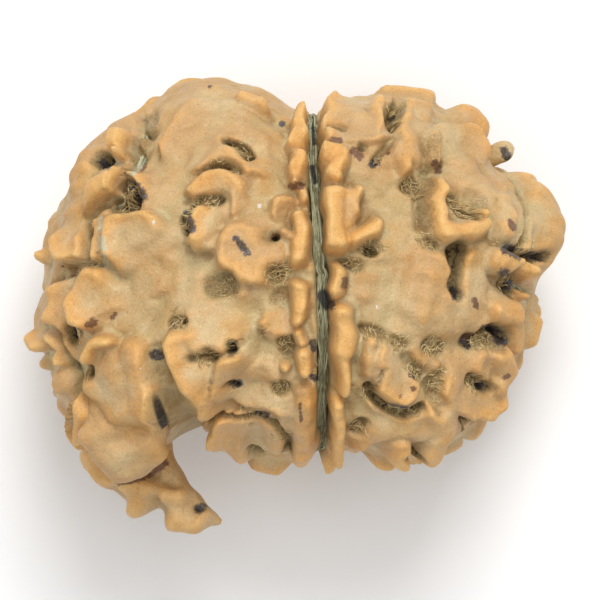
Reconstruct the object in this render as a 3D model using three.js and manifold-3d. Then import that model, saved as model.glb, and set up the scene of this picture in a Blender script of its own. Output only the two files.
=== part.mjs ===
// A rudraksha seed: one natural stone with a short trunk, lying on its back.
//
// The skin is a formula. A rounded body, longest along X and with its stem axis along Y, is covered
// with knobs, ridges, ramps, pits and furrows that stand out from it or sink into it. The toe of the
// flap at the lower left, a nub at the right rim and the trunk are limbs: solids of their own, each
// carried along a path and joined to the body.
import * as THREE from 'three';
import { mergeVertices } from 'three/addons/utils/BufferGeometryUtils.js';
import Module from 'manifold-3d';

// Driving dimensions, in millimetres. The body's middle is the origin until the last step.

// The body's radii seen from the front, one every 15 degrees from +X towards +Y, without its knobs
const RIM_RADII = [
  11.6, 12.5, 11.1, 10.9, 10.2, 9.3, 8.3, 10.0, 10.9, 11.2, 12.0, 12.1,
  12.2, 12.7, 12.9, 12.3, 8.3, 8.6, 8.7, 8.7, 10.0, 11.0, 11.1, 11.3,
];
const HALF_DEPTH = 9.4;
// The worn flat spot that the seed lies on: how far below the middle it is, and its bump
const REST_DEPTH = 10.1;
const REST_BUMP = { height: 1.6, width: 3.2, place: [0.0, 0.3, -HALF_DEPTH] };
// The middle of the finished part's box, seen from above, in the body's own frame
const BOX_MIDDLE = [-0.06, -1.37];

// Knobs and ridges: how much they stand out, how flat their crests are and how they melt together
const KNOB_GAIN = 1.35;
const CREST_SHARPNESS = 3.6;
// The long side of a ramp falls more evenly than a steep side, and this is how soon it takes over
const RAMP_SHARPNESS = 1.3;
const RAMP_TURN = 0.7;
const BLEND = 0.06;
// The mounds that crowded knobs rise from
const MOUND_HEIGHT = 0.3;
const MOUND_WIDTH = 1.3;
const MOUND_FILL = 0.9;
// Pits, furrows and the dimples at the two ends of the stem axis
const PIT_WIDTH = 1.1;
const PIT_SHARPNESS = 3.4;
const FURROW_WIDTH = 0.45;
const FURROW_DEPTH = 1.3;
const FURROW_SHARPNESS = 4.0;
const FURROW_FADE = 0.9;
const HIDDEN_FURROW_WAVE = 0.05;
const DIMPLE_SHARPNESS = 4;
const POLE_DIMPLES = [
  { depth: 1.2, width: 1.0, place: [0, 1, 0] },
  { depth: 0.9, width: 0.8, place: [0, -1, 0] },
];
// The levels over the body at which a crest, a pit and a furrow are seen at their listed places
const CREST_LEVEL = -0.1;
const PIT_LEVEL = 0.0;
const FURROW_LEVEL = -0.5;
// The relief stands out from the body, but leans this much towards the seed's front or back
const FACE_LEAN = 1.0;
// Natural unevenness: slow swells of the ground, and the wandering that makes outlines irregular
const SWELL = { height: 0.12, wavelength: 3.2 };
const ROUGHNESS = { height: 0.05, wavelength: 1.1 };
const WANDER = { height: 0.09, wavelength: 1.7 };
const LIMB_SWELL = { height: 0.07, wavelength: 1.6 };
// The trunk's lumps are drawn out in depth, where distances count for less, and have flat tops
const LUMP_DEPTH_SHARE = 0.35;
const LUMP_SHARPNESS = 3;
// Below 1 a limb's oval is squarer. Its lumps fade out over this share of its length at the tip
const LIMB_SQUARENESS = 0.85;
const LIMB_TIP = 0.12;

// The mesh: steps along a cube's edge before it is blown up round, and how much finer its front is
const STEPS = 29;
const FRONT_BIAS = 0.22;
// Each vertex takes the mean of the relief in rings round it, of forms within a reach, and the whole
// is then softened, so that the steps follow the main forms
const MEAN_RINGS = [0.17, 0.34];
const MEAN_DIRECTIONS = 6;
const REACH = 3.0;
const SOFTENING = 0.3;
const LIMB_ROWS = 12;
const LIMB_SIDES = 14;

// Each row is a height, a half-width and the points that the crest runs through, seen from the front.
// A third number on a point is its height above the seed's middle plane, for the rim and round it.
const KNOBS_LEFT = [
  // Beside the middle furrow, from the stem end down
  [0.9, 0.46, [0.0, 8.3], [-0.05, 7.5], [-0.15, 6.75]],
  [1.0, 0.46, [-0.15, 6.15], [-0.15, 5.3]],
  [1.1, 0.26, [-0.25, 4.95]],
  [0.7, 0.34, [0.1, 4.5], [0.2, 4.0]],
  [1.15, 0.42, [0.02, 3.35], [0.0, 2.0]],
  [1.2, 0.5, [-0.05, 2.0], [-0.1, 1.15]],
  [0.7, 0.3, [-0.8, 2.4], [-0.2, 2.0]],
  [1.2, 0.48, [-0.05, -0.5], [-0.05, -1.9]],
  [0.95, 0.32, [0.0, -2.6], [0.15, -3.3]],
  [1.05, 0.44, [0.15, -3.9], [0.2, -4.5]],
  [0.75, 0.34, [-0.85, -4.3]],
  [0.7, 0.62, [0.1, -5.6], [0.15, -7.5], [0.0, -9.1]],
  [0.5, 0.5, [-0.6, -6.0], [-0.6, -8.3]],
  // The long brow at the stem end and the shoulder below it
  [0.3, 1.4, [-7.2, 8.6], [-5.2, 9.2], [-3.4, 8.9]],
  [0.75, 0.5, [-2.9, 9.3], [-1.95, 9.0]],
  [0.3, 1.0, [-11.2, 5.0], [-10.2, 6.9], [-8.6, 8.1]],
  // Knobs beside the left furrow
  [1.05, 0.6, [-9.35, 7.15], [-8.7, 7.2]],
  [0.9, 0.45, [-8.95, 6.6]],
  [0.8, 0.5, [-9.9, 3.95]],
  [0.6, 1.0, [-11.5, 3.3]],
  [0.55, 0.85, [-11.6, 1.9], [-10.9, 1.9]],
  [0.9, 0.4, [-12.7, 1.2, -0.5]],
  [1.0, 0.5, [-12.9, -2.9, 0.6], [-12.2, -3.1, 1.5]],
  [0.8, 0.55, [-12.1, -4.0]],
  [0.7, 0.45, [-12.5, -4.1, 0.0]],
  [0.5, 0.9, [-12.0, -5.2]],
  [0.9, 0.85, [-11.2, -6.6], [-11.3, -8.0, 1.0]],
  [1.0, 0.4, [-10.65, -3.95], [-10.35, -3.3], [-9.5, -3.05]],
  [0.5, 0.6, [-9.6, -3.6]],
  [0.55, 0.7, [-10.5, -5.4], [-10.1, -5.6]],
  // The left face, from the stem end down
  [0.35, 0.6, [-1.9, 7.0], [-2.1, 5.75]],
  [0.5, 0.45, [-2.95, 0.4], [-2.85, -0.45]],
  [0.45, 0.8, [-5.0, -2.25]],
  [0.5, 0.9, [-4.6, -4.6], [-4.7, -5.4]],
  [0.55, 0.8, [-2.3, -4.6], [-1.6, -4.6]],
  [0.75, 0.8, [-3.2, -7.4], [-3.3, -8.8]],
  [0.8, 0.8, [-1.9, -8.9, 0.5], [-1.4, -9.2, 0.0]],
  [0.5, 0.7, [-1.6, -7.2], [-1.2, -8.4]],
];
const FLAP = [
  [0.58, 1.5, [-9.3, -4.6], [-9.2, -6.2]],
  [0.6, 1.0, [-8.4, -3.9], [-8.05, -5.0], [-7.85, -6.4]],
];
const KNOBS_RIGHT = [
  // Beside the middle furrow, from the stem end down
  [0.85, 1.2, [2.8, 8.0], [3.3, 7.6]],
  [1.15, 0.62, [1.4, 6.35], [2.05, 6.25], [1.75, 5.6]],
  [1.05, 0.4, [1.45, 5.45], [1.95, 5.25]],
  [1.25, 0.72, [1.72, 4.3], [1.75, 3.2], [1.75, 2.1]],
  [1.0, 0.75, [2.3, 4.0], [2.3, 2.9]],
  [0.95, 0.34, [2.85, 4.4], [2.75, 3.4]],
  [1.05, 0.45, [2.6, 2.1], [3.65, 2.6]],
  [1.15, 0.48, [1.85, 0.35], [1.75, -0.5]],
  [1.15, 0.62, [2.15, -1.7], [2.25, -3.5]],
  [1.05, 0.4, [2.2, -3.75], [2.25, -5.5]],
  [1.05, 0.42, [1.95, -6.15], [1.9, -7.5], [1.85, -8.9]],
  [0.8, 0.6, [1.4, -9.1, 0.4]],
  // Blocks at the stem end and along the rim
  [0.9, 0.4, [3.85, 8.9], [3.9, 8.2], [3.8, 7.4]],
  [0.7, 0.9, [6.0, 8.6], [6.1, 7.7]],
  [0.5, 0.6, [5.6, 7.4], [5.5, 6.6]],
  [0.7, 0.7, [4.4, 9.3, -1.0], [6.2, 9.3, -1.0]],
  [0.85, 0.9, [8.0, 8.0, 0.5], [8.6, 7.7, 0.5]],
  [0.55, 0.5, [4.95, 6.7], [5.3, 5.6]],
  [0.95, 0.5, [6.75, 7.2], [6.85, 6.2]],
  // The dome and the hooked ridge under it
  [0.75, 1.3, [8.5, 5.4], [9.2, 4.6]],
  [0.6, 0.7, [9.8, 4.8], [10.3, 3.8], [10.3, 2.6]],
  [1.0, 0.55, [7.0, 4.75], [6.85, 4.0], [7.0, 2.9]],
  [1.0, 0.58, [7.15, 2.6], [8.2, 2.4], [9.1, 2.8]],
  [0.95, 0.38, [9.25, 3.4]],
  // Lobes round the right rim
  [0.5, 1.4, [11.9, 4.0, 1.0], [12.3, 2.75, 1.0], [12.3, 1.6, 1.0]],
  [0.6, 0.7, [11.0, 5.0, 0.0]],
  [0.9, 0.6, [9.9, 1.0], [10.9, 0.55], [11.5, 0.05]],
  [0.5, 0.6, [11.4, -0.4]],
  [0.75, 0.6, [11.9, -2.25, -0.5], [11.85, -3.0, -0.5]],
  [0.8, 0.75, [10.0, -1.5], [11.0, -1.75]],
  [0.6, 0.6, [11.0, -2.0], [10.9, -3.4]],
  // The broad middle of the right face and its lower knobs
  [0.4, 1.2, [6.5, 0.5], [6.5, -1.5], [9.0, -1.6]],
  [0.35, 0.8, [6.6, 1.0], [6.7, -0.25]],
  [0.35, 0.9, [8.9, 1.0], [8.8, -0.5]],
  [0.8, 0.65, [10.1, -3.7], [10.3, -4.7], [9.9, -5.4]],
  [0.5, 1.0, [9.3, -5.3], [9.2, -4.0]],
  [0.65, 0.5, [3.45, -3.3], [3.5, -4.6]],
  [0.4, 1.2, [4.2, -3.9], [4.5, -4.8]],
  [0.45, 0.7, [3.8, -6.4], [5.2, -6.8], [6.4, -7.3]],
  [0.35, 1.0, [3.0, -7.2], [4.6, -7.5]],
  [0.95, 1.15, [7.2, -6.8], [7.0, -8.0]],
  [1.0, 0.8, [6.9, -8.2], [6.65, -8.9]],
  [1.0, 0.65, [5.0, -8.3], [5.0, -9.1]],
  [0.6, 0.7, [3.9, -8.7, -0.5]],
  [0.35, 0.4, [6.8, -4.3]],
];
// Ramps: each row is a height, the half-width of the steep side, the length of the slope on the right
// hand of whoever walks along the crest, and the crest's points.
const RAMPS_LEFT = [
  // Brow and shoulder
  [0.5, 0.4, 1.5, [-6.9, 6.9], [-6.1, 8.0], [-5.5, 8.7]],
  // Beside the left furrow
  [1.1, 0.36, 1.6, [-10.4, 4.7], [-9.6, 5.0], [-8.95, 5.3]],
  [1.1, 0.36, 1.6, [-8.95, 5.3], [-8.75, 4.9], [-8.85, 4.3]],
  [1.0, 0.4, 2.2, [-9.65, 1.4], [-9.7, 2.5], [-9.4, 3.1], [-8.6, 3.25], [-7.75, 3.3]],
  [0.95, 0.4, 1.7, [-10.8, 0.75], [-11.4, 0.7], [-11.95, 1.05], [-12.3, 1.6]],
  [0.8, 0.5, 1.3, [-12.7, -2.6], [-12.5, -1.5], [-12.4, -0.1]],
  [1.05, 0.4, 1.9, [-11.25, -2.0], [-11.4, -1.1], [-11.0, -0.2], [-10.6, 0.25]],
  [0.75, 0.3, 1.5, [-10.6, 0.25], [-9.9, 0.15]],
  // The left face, from the stem end down
  [0.55, 0.3, 1.1, [-2.5, 5.4], [-3.2, 6.15], [-3.9, 6.4], [-4.9, 5.7]],
  [0.75, 0.36, 1.5, [-5.4, 4.4], [-4.75, 5.1], [-4.05, 5.3], [-3.4, 5.1], [-2.95, 4.75]],
  [0.75, 0.24, 0.9, [-3.3, 3.3], [-3.45, 4.2]],
  [0.65, 0.26, 1.0, [-1.35, 3.3], [-1.25, 3.9], [-0.75, 4.0]],
  [0.95, 0.36, 1.5, [-5.15, 2.0], [-5.35, 2.6], [-5.05, 3.5]],
  [0.6, 0.3, 1.1, [-5.05, 3.5], [-4.4, 3.1], [-3.95, 2.6]],
  [0.85, 0.4, 1.0, [-4.3, 1.7], [-5.15, 1.75]],
  [1.0, 0.42, 2.4, [-2.9, 0.1], [-3.65, 0.75], [-3.9, 1.8], [-3.55, 2.4], [-2.8, 2.6]],
  [0.65, 0.32, 1.4, [-0.95, 0.95], [-1.9, 0.75], [-2.8, 0.2]],
  [0.55, 0.22, 1.5, [-0.5, -2.6], [-1.3, -2.45], [-2.0, -2.2]],
  [0.75, 0.3, 1.5, [-3.9, -3.4], [-4.7, -3.35], [-5.3, -3.45], [-5.55, -3.15], [-5.5, -2.7]],
  [0.9, 0.34, 2.0, [-4.25, -5.8], [-4.2, -4.9], [-4.0, -4.2], [-3.5, -3.85]],
  [0.65, 0.3, 1.7, [-0.8, -6.7], [-1.8, -6.3], [-3.0, -5.95], [-4.2, -5.75]],
  [0.95, 0.42, 2.0, [-5.05, -6.8], [-5.5, -6.2], [-5.95, -5.2], [-6.2, -4.2], [-6.5, -3.3]],
  [0.8, 0.35, 1.5, [-4.4, -5.8], [-4.95, -6.8]],
  [0.85, 0.4, 1.8, [-4.1, -8.4], [-4.2, -7.9], [-3.9, -7.2], [-3.5, -6.75]],
];
const RAMPS_RIGHT = [
  // Blocks at the stem end
  [0.85, 0.3, 2.6, [1.4, 7.1], [1.4, 8.0], [1.5, 9.0]],
  [0.85, 0.3, 1.8, [3.9, 7.1], [2.8, 6.95], [1.8, 7.0]],
  [0.85, 0.32, 2.0, [5.0, 7.3], [4.95, 8.2], [5.1, 8.9]],
  [0.8, 0.36, 1.8, [6.9, 7.6], [8.1, 7.7], [8.85, 7.35], [9.25, 6.7]],
  // The tongue, the smooth lobe under it and the scalloped ledge beside them
  [0.85, 0.34, 1.6, [5.9, -5.3], [5.55, -5.9], [4.9, -5.95], [4.25, -5.65], [4.05, -5.0], [4.0, -3.8]],
  [0.75, 0.36, 1.8, [6.6, -7.3], [6.0, -7.9], [5.2, -7.7], [4.2, -7.9], [3.2, -8.25]],
  [0.85, 0.32, 1.6, [9.9, -6.35], [9.2, -6.8], [8.2, -6.7], [7.6, -6.25], [7.4, -5.6]],
];
// Each row is a depth, a half-width and the points that the pit runs through.
const PITS_LEFT = [
  [0.75, 0.26, [-3.55, 6.75], [-3.0, 6.45], [-2.4, 5.95]],
  [0.45, 0.16, [-4.85, 5.05], [-4.3, 5.5], [-3.6, 5.6], [-3.0, 5.2]],
  [0.6, 0.24, [-5.4, 3.3], [-4.9, 3.75], [-3.9, 3.75]],
  [0.7, 0.24, [-5.6, 3.0], [-5.4, 2.4]],
  [1.2, 0.16, [-1.1, 2.0]],
  [0.3, 0.4, [-1.3, 2.05]],
  [0.45, 0.5, [-1.2, 0.3]],
  [0.5, 0.55, [-4.2, -0.35], [-3.6, -0.15]],
  [0.35, 0.3, [-3.4, -0.4]],
  [0.45, 0.32, [-6.3, -2.05], [-5.75, -1.95]],
  [1.1, 0.17, [-5.6, -1.95]],
  [0.25, 0.55, [-1.1, -0.9]],
  [0.5, 0.2, [-5.3, -3.75], [-4.25, -3.85]],
  [0.7, 0.2, [-3.35, -3.1], [-3.4, -3.4]],
  [0.4, 0.35, [-0.7, -2.9], [-0.6, -3.4]],
  [0.75, 0.2, [-3.2, -4.85], [-2.95, -4.9]],
  [0.5, 0.4, [-0.95, -5.1]],
  [0.5, 0.16, [-4.4, -6.7], [-3.9, -6.3], [-3.0, -6.1], [-2.1, -6.4], [-1.5, -6.65]],
  [0.5, 0.16, [-1.5, -6.65], [-0.9, -6.9], [-0.6, -7.4], [-0.55, -8.0]],
  [0.45, 0.35, [-4.25, -6.8]],
  [0.8, 0.32, [-2.25, -8.0], [-2.0, -8.4]],
  [1.1, 0.4, [-10.0, 5.95], [-9.6, 5.85]],
  [0.35, 0.5, [-7.2, 8.0], [-7.6, 7.0], [-8.0, 6.0]],
  [1.2, 0.4, [-8.2, 4.6], [-8.15, 3.75], [-8.9, 3.6]],
  [1.0, 0.42, [-11.1, -2.55]],
  [0.5, 0.25, [-11.1, -4.4]],
  [0.7, 0.25, [-10.25, -4.5]],
  [0.7, 0.25, [-10.4, -8.6]],
];
const HOLLOW = [
  [0.75, 0.6, [-7.0, -3.9], [-6.7, -5.2], [-6.3, -6.2]],
  [1.3, 0.9, [-6.0, -6.2], [-5.8, -7.2], [-5.7, -7.9, 0.0]],
  [1.5, 1.2, [-5.6, -7.6, -2.0], [-5.3, -6.8, -5.0]],
  [2.2, 0.4, [-6.8, -5.9], [-6.55, -6.9], [-6.4, -7.7]],
];
const PITS_RIGHT = [
  [0.8, 0.3, [4.8, 8.8], [4.5, 8.0], [4.3, 7.3]],
  [0.35, 0.22, [4.25, 6.4], [3.75, 5.8]],
  [0.45, 0.2, [2.85, 6.35]],
  [0.5, 0.16, [1.5, 7.05], [2.0, 7.0]],
  [0.5, 0.45, [5.5, 4.6]],
  [0.3, 0.4, [6.25, 6.5], [6.15, 5.0], [6.05, 2.75]],
  [0.5, 0.22, [6.85, 5.7]],
  [0.5, 0.26, [7.45, 4.0], [7.8, 3.4], [8.35, 3.05]],
  [0.25, 0.5, [8.3, 3.9], [8.8, 3.6]],
  [0.9, 0.34, [7.65, 1.3], [7.55, 0.0], [7.7, -0.6]],
  [0.9, 0.44, [7.75, 1.4], [7.62, 0.85]],
  [0.35, 0.45, [6.4, 1.8]],
  [1.1, 0.22, [3.4, 1.4], [3.65, 1.35]],
  [0.3, 0.4, [3.7, 1.6]],
  [0.35, 0.35, [2.3, 0.85], [2.9, 0.75]],
  [1.0, 0.26, [10.4, 1.45], [11.2, 1.2], [11.9, 1.1]],
  [0.9, 0.4, [10.15, 0.05], [10.3, -0.5]],
  [0.35, 0.15, [10.6, 2.7]],
  [0.9, 0.2, [8.9, -2.5], [9.4, -2.4], [10.0, -2.8]],
  [0.45, 0.4, [8.2, -3.0], [9.6, -3.05]],
  [0.35, 0.45, [6.35, -3.15], [6.9, -3.4]],
  [0.3, 0.24, [2.95, -2.45], [3.8, -2.6], [4.5, -2.85], [5.1, -3.25]],
  [0.32, 0.32, [5.15, -3.7], [5.6, -4.3], [5.95, -4.7]],
  [0.6, 0.32, [8.2, -4.7], [8.9, -5.1]],
  [0.3, 0.14, [3.85, -4.3], [3.75, -5.0]],
  [0.3, 0.4, [6.3, -5.1], [6.6, -6.0]],
  [0.7, 0.24, [3.45, -5.2], [3.65, -5.85], [4.3, -6.2], [5.1, -6.4], [5.75, -6.15]],
  [0.45, 0.32, [2.6, -7.1], [2.9, -6.8]],
  [1.0, 0.22, [4.9, -7.9], [5.5, -8.2]],
  [1.2, 0.22, [5.75, -8.3, 0.5], [5.8, -8.2, -1.0]],
  [0.7, 0.22, [7.8, -6.9], [8.7, -7.2]],
  [0.8, 0.2, [11.35, -2.3], [11.15, -3.7]],
];
// The furrows between the faces, from the stem end down
const GROOVE = [
  [0.75, 7.6, -2.6], [0.75, 8.2, 0.0], [0.65, 7.9], [0.6, 7.25], [0.62, 6.25], [0.68, 5.25],
  [0.75, 4.0], [0.85, 2.5], [0.98, 1.0], [1.08, -0.5], [1.12, -2.0], [1.15, -3.5], [1.12, -5.0],
  [1.08, -6.5], [1.0, -8.0], [0.9, -8.9, 0.5], [0.8, -8.4, -2.6],
];
const LEFT_FURROW = [
  [-3.0, 8.6, 1.0], [-7.3, 7.9], [-7.6, 6.6], [-8.0, 5.4], [-8.4, 4.0], [-9.3, 3.4], [-9.9, 2.9],
  [-9.9, 1.9], [-9.8, 0.9], [-10.8, 0.45], [-11.7, -0.4], [-11.8, -1.4], [-11.3, -2.6],
  [-10.6, -4.6], [-10.4, -6.0], [-10.6, -7.4], [-10.9, -8.4, 1.5],
];
const RIGHT_FURROW = [
  [3.0, 8.6, -0.5], [9.6, 6.2, 1.0], [10.4, 5.2], [10.75, 4.0], [11.0, 2.7], [10.85, 2.0], [10.4, 1.2],
  [10.1, 0.0], [11.0, -0.8], [11.5, -2.0], [11.35, -3.4], [11.0, -4.6, 1.0], [9.0, -7.0, 0.0],
  [3.0, -8.6, 0.0],
];
// Each row of the flap's toe, of the nub at the rim and of the trunk is a point of its path, its
// half-width and its half-thickness.
const TOE = [
  [-8.9, -4.6, 3.4, 1.6, 0.9], [-8.75, -6.4, 4.1, 1.95, 1.15], [-8.65, -7.9, 3.9, 2.05, 1.2],
  [-8.35, -8.75, 3.5, 1.8, 1.1], [-8.0, -9.3, 3.2, 1.35, 0.85], [-7.8, -9.6, 3.0, 0.5, 0.4],
];
const NUB = [
  [8.6, 5.6, -1.5, 0.6, 0.6], [9.6, 6.15, -0.8, 0.42, 0.42], [10.25, 6.45, -0.4, 0.48, 0.45],
  [10.6, 6.6, -0.3, 0.36, 0.36], [10.75, 6.65, -0.3, 0.08, 0.08],
];
const TRUNK = [
  [-9.2, -5.5, -2.8, 1.4, 1.6], [-8.7, -7.6, -2.6, 2.0, 1.8], [-8.1, -9.1, -2.2, 1.95, 1.6],
  [-6.95, -10.4, -1.6, 1.3, 1.2], [-5.55, -11.45, -1.2, 0.82, 0.9], [-4.55, -12.0, -1.1, 0.5, 0.5],
  [-3.95, -12.15, -1.1, 0.1, 0.1],
];
// Each row is a height, a half-width and a point. A height below nothing is a dent.
const TOE_LUMPS = [
  [0.4, 0.6, [-10.6, -7.8, 4.0]],
  [0.35, 0.6, [-6.75, -8.9, 3.6]],
  [0.2, 0.5, [-9.7, -7.5, 4.9]],
  [0.2, 0.6, [-7.5, -8.3, 4.9]],
  [-0.2, 0.4, [-8.7, -8.0, 5.0]],
  [-0.15, 0.4, [-8.0, -7.3, 5.1]],
];
const TRUNK_LUMPS = [
  [0.75, 0.9, [-10.2, -8.9, -1.0]],
  [0.55, 0.6, [-9.6, -9.9, -1.2]],
  [0.85, 0.55, [-7.95, -11.2, -1.6]],
  [0.5, 0.6, [-8.5, -10.2, -0.6]],
  [0.55, 0.45, [-8.3, -10.1, 0.0]],
  [0.65, 0.42, [-7.5, -10.45, 0.0]],
  [0.6, 0.4, [-6.75, -10.75, 0.0]],
  [0.5, 0.4, [-6.0, -10.95, 0.0]],
  [-0.5, 0.42, [-7.4, -9.7, 0.0]],
  [-0.4, 0.35, [-6.4, -10.2, 0.0]],
  [-0.35, 0.35, [-7.3, -11.1, -0.3]],
  [0.6, 0.55, [-6.1, -12.05, -1.0]],
  [0.5, 0.5, [-5.2, -12.3, -0.9]],
  [0.3, 0.4, [-4.8, -11.9, -0.5]],
  [-0.55, 0.28, [-5.05, -11.45, -0.4]],
  [-0.5, 0.35, [-9.1, -10.6, -1.0]],
  [-0.5, 0.35, [-7.1, -11.6, -1.0]],
  [-0.45, 0.32, [-9.6, -9.3, -0.4]],
];

// The front's two faces again on the hidden side: which of them, how far round, and upside down or not
const HIDDEN_FACES = [
  { faces: 'both', turn: 104, flipped: true },
  { faces: 'both', turn: 208, flipped: false },
  { faces: 'left', turn: -52, flipped: true },
];
const HIDDEN_FURROWS = [107, 157, 207, 258];
const HIDDEN_LIMIT = -0.12;
const HIDDEN_RISE = { start: 0.4, growth: 1.8 };
const HIDDEN_POLE = 0.88;

const STEM_AXIS = new THREE.Vector3(0, 1, 0);

const COLOUR = 0xc79a62;

// Catmull-Rom between values[first] and the next one, with hold keeping the neighbours in the list
function blendFour(values, first, t, hold) {
  const [a, b, c, d] = [-1, 0, 1, 2].map((step) => values[hold(first + step)]);
  const square = (2 * a - 5 * b + 4 * c - d) * t ** 2;
  const cube = (3 * b - a - 3 * c + d) * t ** 3;
  return 0.5 * (2 * b + (c - a) * t + square + cube);
}

// A smooth run through rows of numbers, at t from 0 to 1
function along(rows, t) {
  const last = rows.length - 1;
  const place = Math.min(t * last, last - 1e-9);
  const hold = (index) => THREE.MathUtils.clamp(index, 0, last);
  const column = (item) => rows.map((row) => row[item]);
  return rows[0].map((_, item) => blendFour(column(item), Math.floor(place), place % 1, hold));
}

// The body's rim radius in a direction round Z, smoothly through the listed radii
function rimRadius(angle) {
  const count = RIM_RADII.length;
  const place = ((((angle / (2 * Math.PI)) % 1) + 1) % 1) * count;
  return blendFour(RIM_RADII, Math.floor(place), place % 1, (index) => (index + count) % count);
}

// The smooth body's point in a direction, and the way in which the relief stands out there
function bodyPoint({ x, y, z }) {
  const radius = rimRadius(Math.atan2(y, x));
  return new THREE.Vector3(x * radius, y * radius, z * HALF_DEPTH);
}

function outward({ x, y, z }) {
  const radius = rimRadius(Math.atan2(y, x));
  return new THREE.Vector3(x / radius, y / radius, (z / HALF_DEPTH) * (1 + FACE_LEAN)).normalize();
}

// The direction whose relief, at a level above the body, is seen from the front at x, y
function seat([x, y, z], level) {
  const angle = Math.atan2(y, x);
  const rim = rimRadius(angle);
  if (z !== undefined) {
    return new THREE.Vector3(x / (rim + level), y / (rim + level), z / (HALF_DEPTH + level)).normalize();
  }
  const radius = Math.hypot(x, y);
  const direction = new THREE.Vector3();
  let out = radius / rim;
  for (let round = 0; round < 8; round += 1) {
    out = THREE.MathUtils.clamp(out, 0, 0.995);
    direction.set(out * Math.cos(angle), out * Math.sin(angle), Math.sqrt(1 - out ** 2));
    const push = outward(direction);
    out = (radius - level * Math.hypot(push.x, push.y)) / rim;
  }
  return direction;
}

// Rows of points become smooth lines of short strokes between two directions. A row with a third
// number before its points is a ramp, and hand tells on which side of the stroke its slope is
function strokes(rows, levelOf) {
  return rows.flatMap(([size, width, ...rest]) => {
    const [slope, ...points] = Array.isArray(rest[0]) ? [width, ...rest] : rest;
    let seats = points.map((point) => seat(point, levelOf(size)));
    if (seats.length === 1) seats.push(seats[0]);
    if (seats.length > 2) {
      const steps = 3 * (seats.length - 1);
      const rowsOfSeats = seats.map((one) => one.toArray());
      seats = Array.from({ length: steps + 1 }, (_, step) => (
        new THREE.Vector3(...along(rowsOfSeats, step / steps)).normalize()));
    }
    return seats.slice(1).map((end, index) => ({ size, width, slope, hand: 1, ends: [seats[index], end] }));
  });
}

// The strokes of the front faces, turned round Y to the hidden side, and lower near the rim
function hiddenStrokes(front) {
  return HIDDEN_FACES.flatMap(({ faces, turn, flipped }) => {
    const source = faces === 'both' ? [...front.left, ...front.right] : front.left;
    const moved = source.map(({ hand, ends, ...sizes }) => ({
      ...sizes,
      hand: flipped ? -hand : hand,
      ends: ends.map((end) => new THREE.Vector3(end.x, flipped ? -end.y : end.y, end.z)
        .applyAxisAngle(STEM_AXIS, THREE.MathUtils.degToRad(turn))),
    }));
    const kept = moved.filter(({ ends }) => (
      ends.every((end) => end.z < HIDDEN_LIMIT && Math.abs(end.y) < HIDDEN_POLE)));
    return kept.map((stroke) => {
      const depth = HIDDEN_LIMIT - Math.max(...stroke.ends.map((end) => end.z));
      return { ...stroke, size: stroke.size * Math.min(HIDDEN_RISE.start + HIDDEN_RISE.growth * depth, 1) };
    });
  });
}

// The furrows: three from the front, and the rest evenly round the back
function furrowStrokes() {
  const lines = [GROOVE, LEFT_FURROW, RIGHT_FURROW].map((line) => (
    line.map((point) => seat(point, FURROW_LEVEL))));
  for (const longitude of HIDDEN_FURROWS) {
    const line = [];
    for (let latitude = -84; latitude <= 84; latitude += 12) {
      const up = THREE.MathUtils.degToRad(latitude);
      const round = THREE.MathUtils.degToRad(longitude) + HIDDEN_FURROW_WAVE * Math.sin(3 * up + longitude);
      line.push(new THREE.Vector3(0, Math.sin(up), Math.cos(up)).applyAxisAngle(STEM_AXIS, round));
    }
    lines.push(line);
  }
  return lines.flatMap((line) => line.slice(1).map((end, index) => ({ ends: [line[index], end] })));
}

function withFeet(list) {
  return list.map((stroke) => ({ ...stroke, feet: stroke.ends.map((end) => bodyPoint(end)) }));
}

// The way from the nearest point of the straight line between a stroke's two feet to a point
function aside(point, [from, to]) {
  const [runX, runY, runZ] = [to.x - from.x, to.y - from.y, to.z - from.z];
  const [x, y, z] = [point.x - from.x, point.y - from.y, point.z - from.z];
  const length = runX ** 2 + runY ** 2 + runZ ** 2;
  const share = length < 1e-9 ? 0 : Math.min(Math.max((x * runX + y * runY + z * runZ) / length, 0), 1);
  return [x - share * runX, y - share * runY, z - share * runZ];
}

function distanceTo(point, feet) {
  return Math.hypot(...aside(point, feet));
}

// How much of a knob's height a point has: a flat crest with steep sides. On the hand's side of a
// ramp the width grows to the slope's length and the fall becomes more even
function knobShare(point, { width, slope, hand, ends: [start, end], feet }) {
  const way = aside(point, feet);
  const distance = Math.hypot(...way);
  if (slope === width) return Math.exp(-((distance / width) ** CREST_SHARPNESS));
  const side = end.clone().sub(start).cross(outward(start.clone().add(end))).normalize();
  const reach = hand * (way[0] * side.x + way[1] * side.y + way[2] * side.z);
  const turn = THREE.MathUtils.clamp(reach / Math.max(distance, 1e-9), 0, 1) ** RAMP_TURN;
  const sharpness = CREST_SHARPNESS + (RAMP_SHARPNESS - CREST_SHARPNESS) * turn;
  return Math.exp(-((distance / (width + (slope - width) * turn)) ** sharpness));
}

// A sum of waves in evenly spread directions, mostly between -1 and 1
const WAVES = 12;
const GOLDEN_ANGLE = Math.PI * (3 - Math.sqrt(5));
function swell(point, wavelength) {
  let sum = 0;
  for (let index = 0; index < WAVES; index += 1) {
    const level = 1 - (2 * index + 1) / WAVES;
    const flat = Math.sqrt(1 - level ** 2);
    const turn = GOLDEN_ANGLE * index * 5;
    const pitch = ((2 * Math.PI) / wavelength) * (0.7 + 0.7 * ((index * 0.618) % 1));
    const run = flat * Math.cos(turn) * point.x + flat * Math.sin(turn) * point.y + level * point.z;
    sum += Math.sin(pitch * run + 1.7 * index * index);
  }
  return sum / Math.sqrt(WAVES);
}

// A point moved a little aside, so that what is drawn there has an irregular outline
function wander(point) {
  const shift = [1, 2, 3].map((axis) => (
    swell(new THREE.Vector3(point.x + 7 * axis, point.y + 3 * axis, point.z + 5), WANDER.wavelength)));
  return point.clone().addScaledVector(new THREE.Vector3(...shift), WANDER.height);
}

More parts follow.
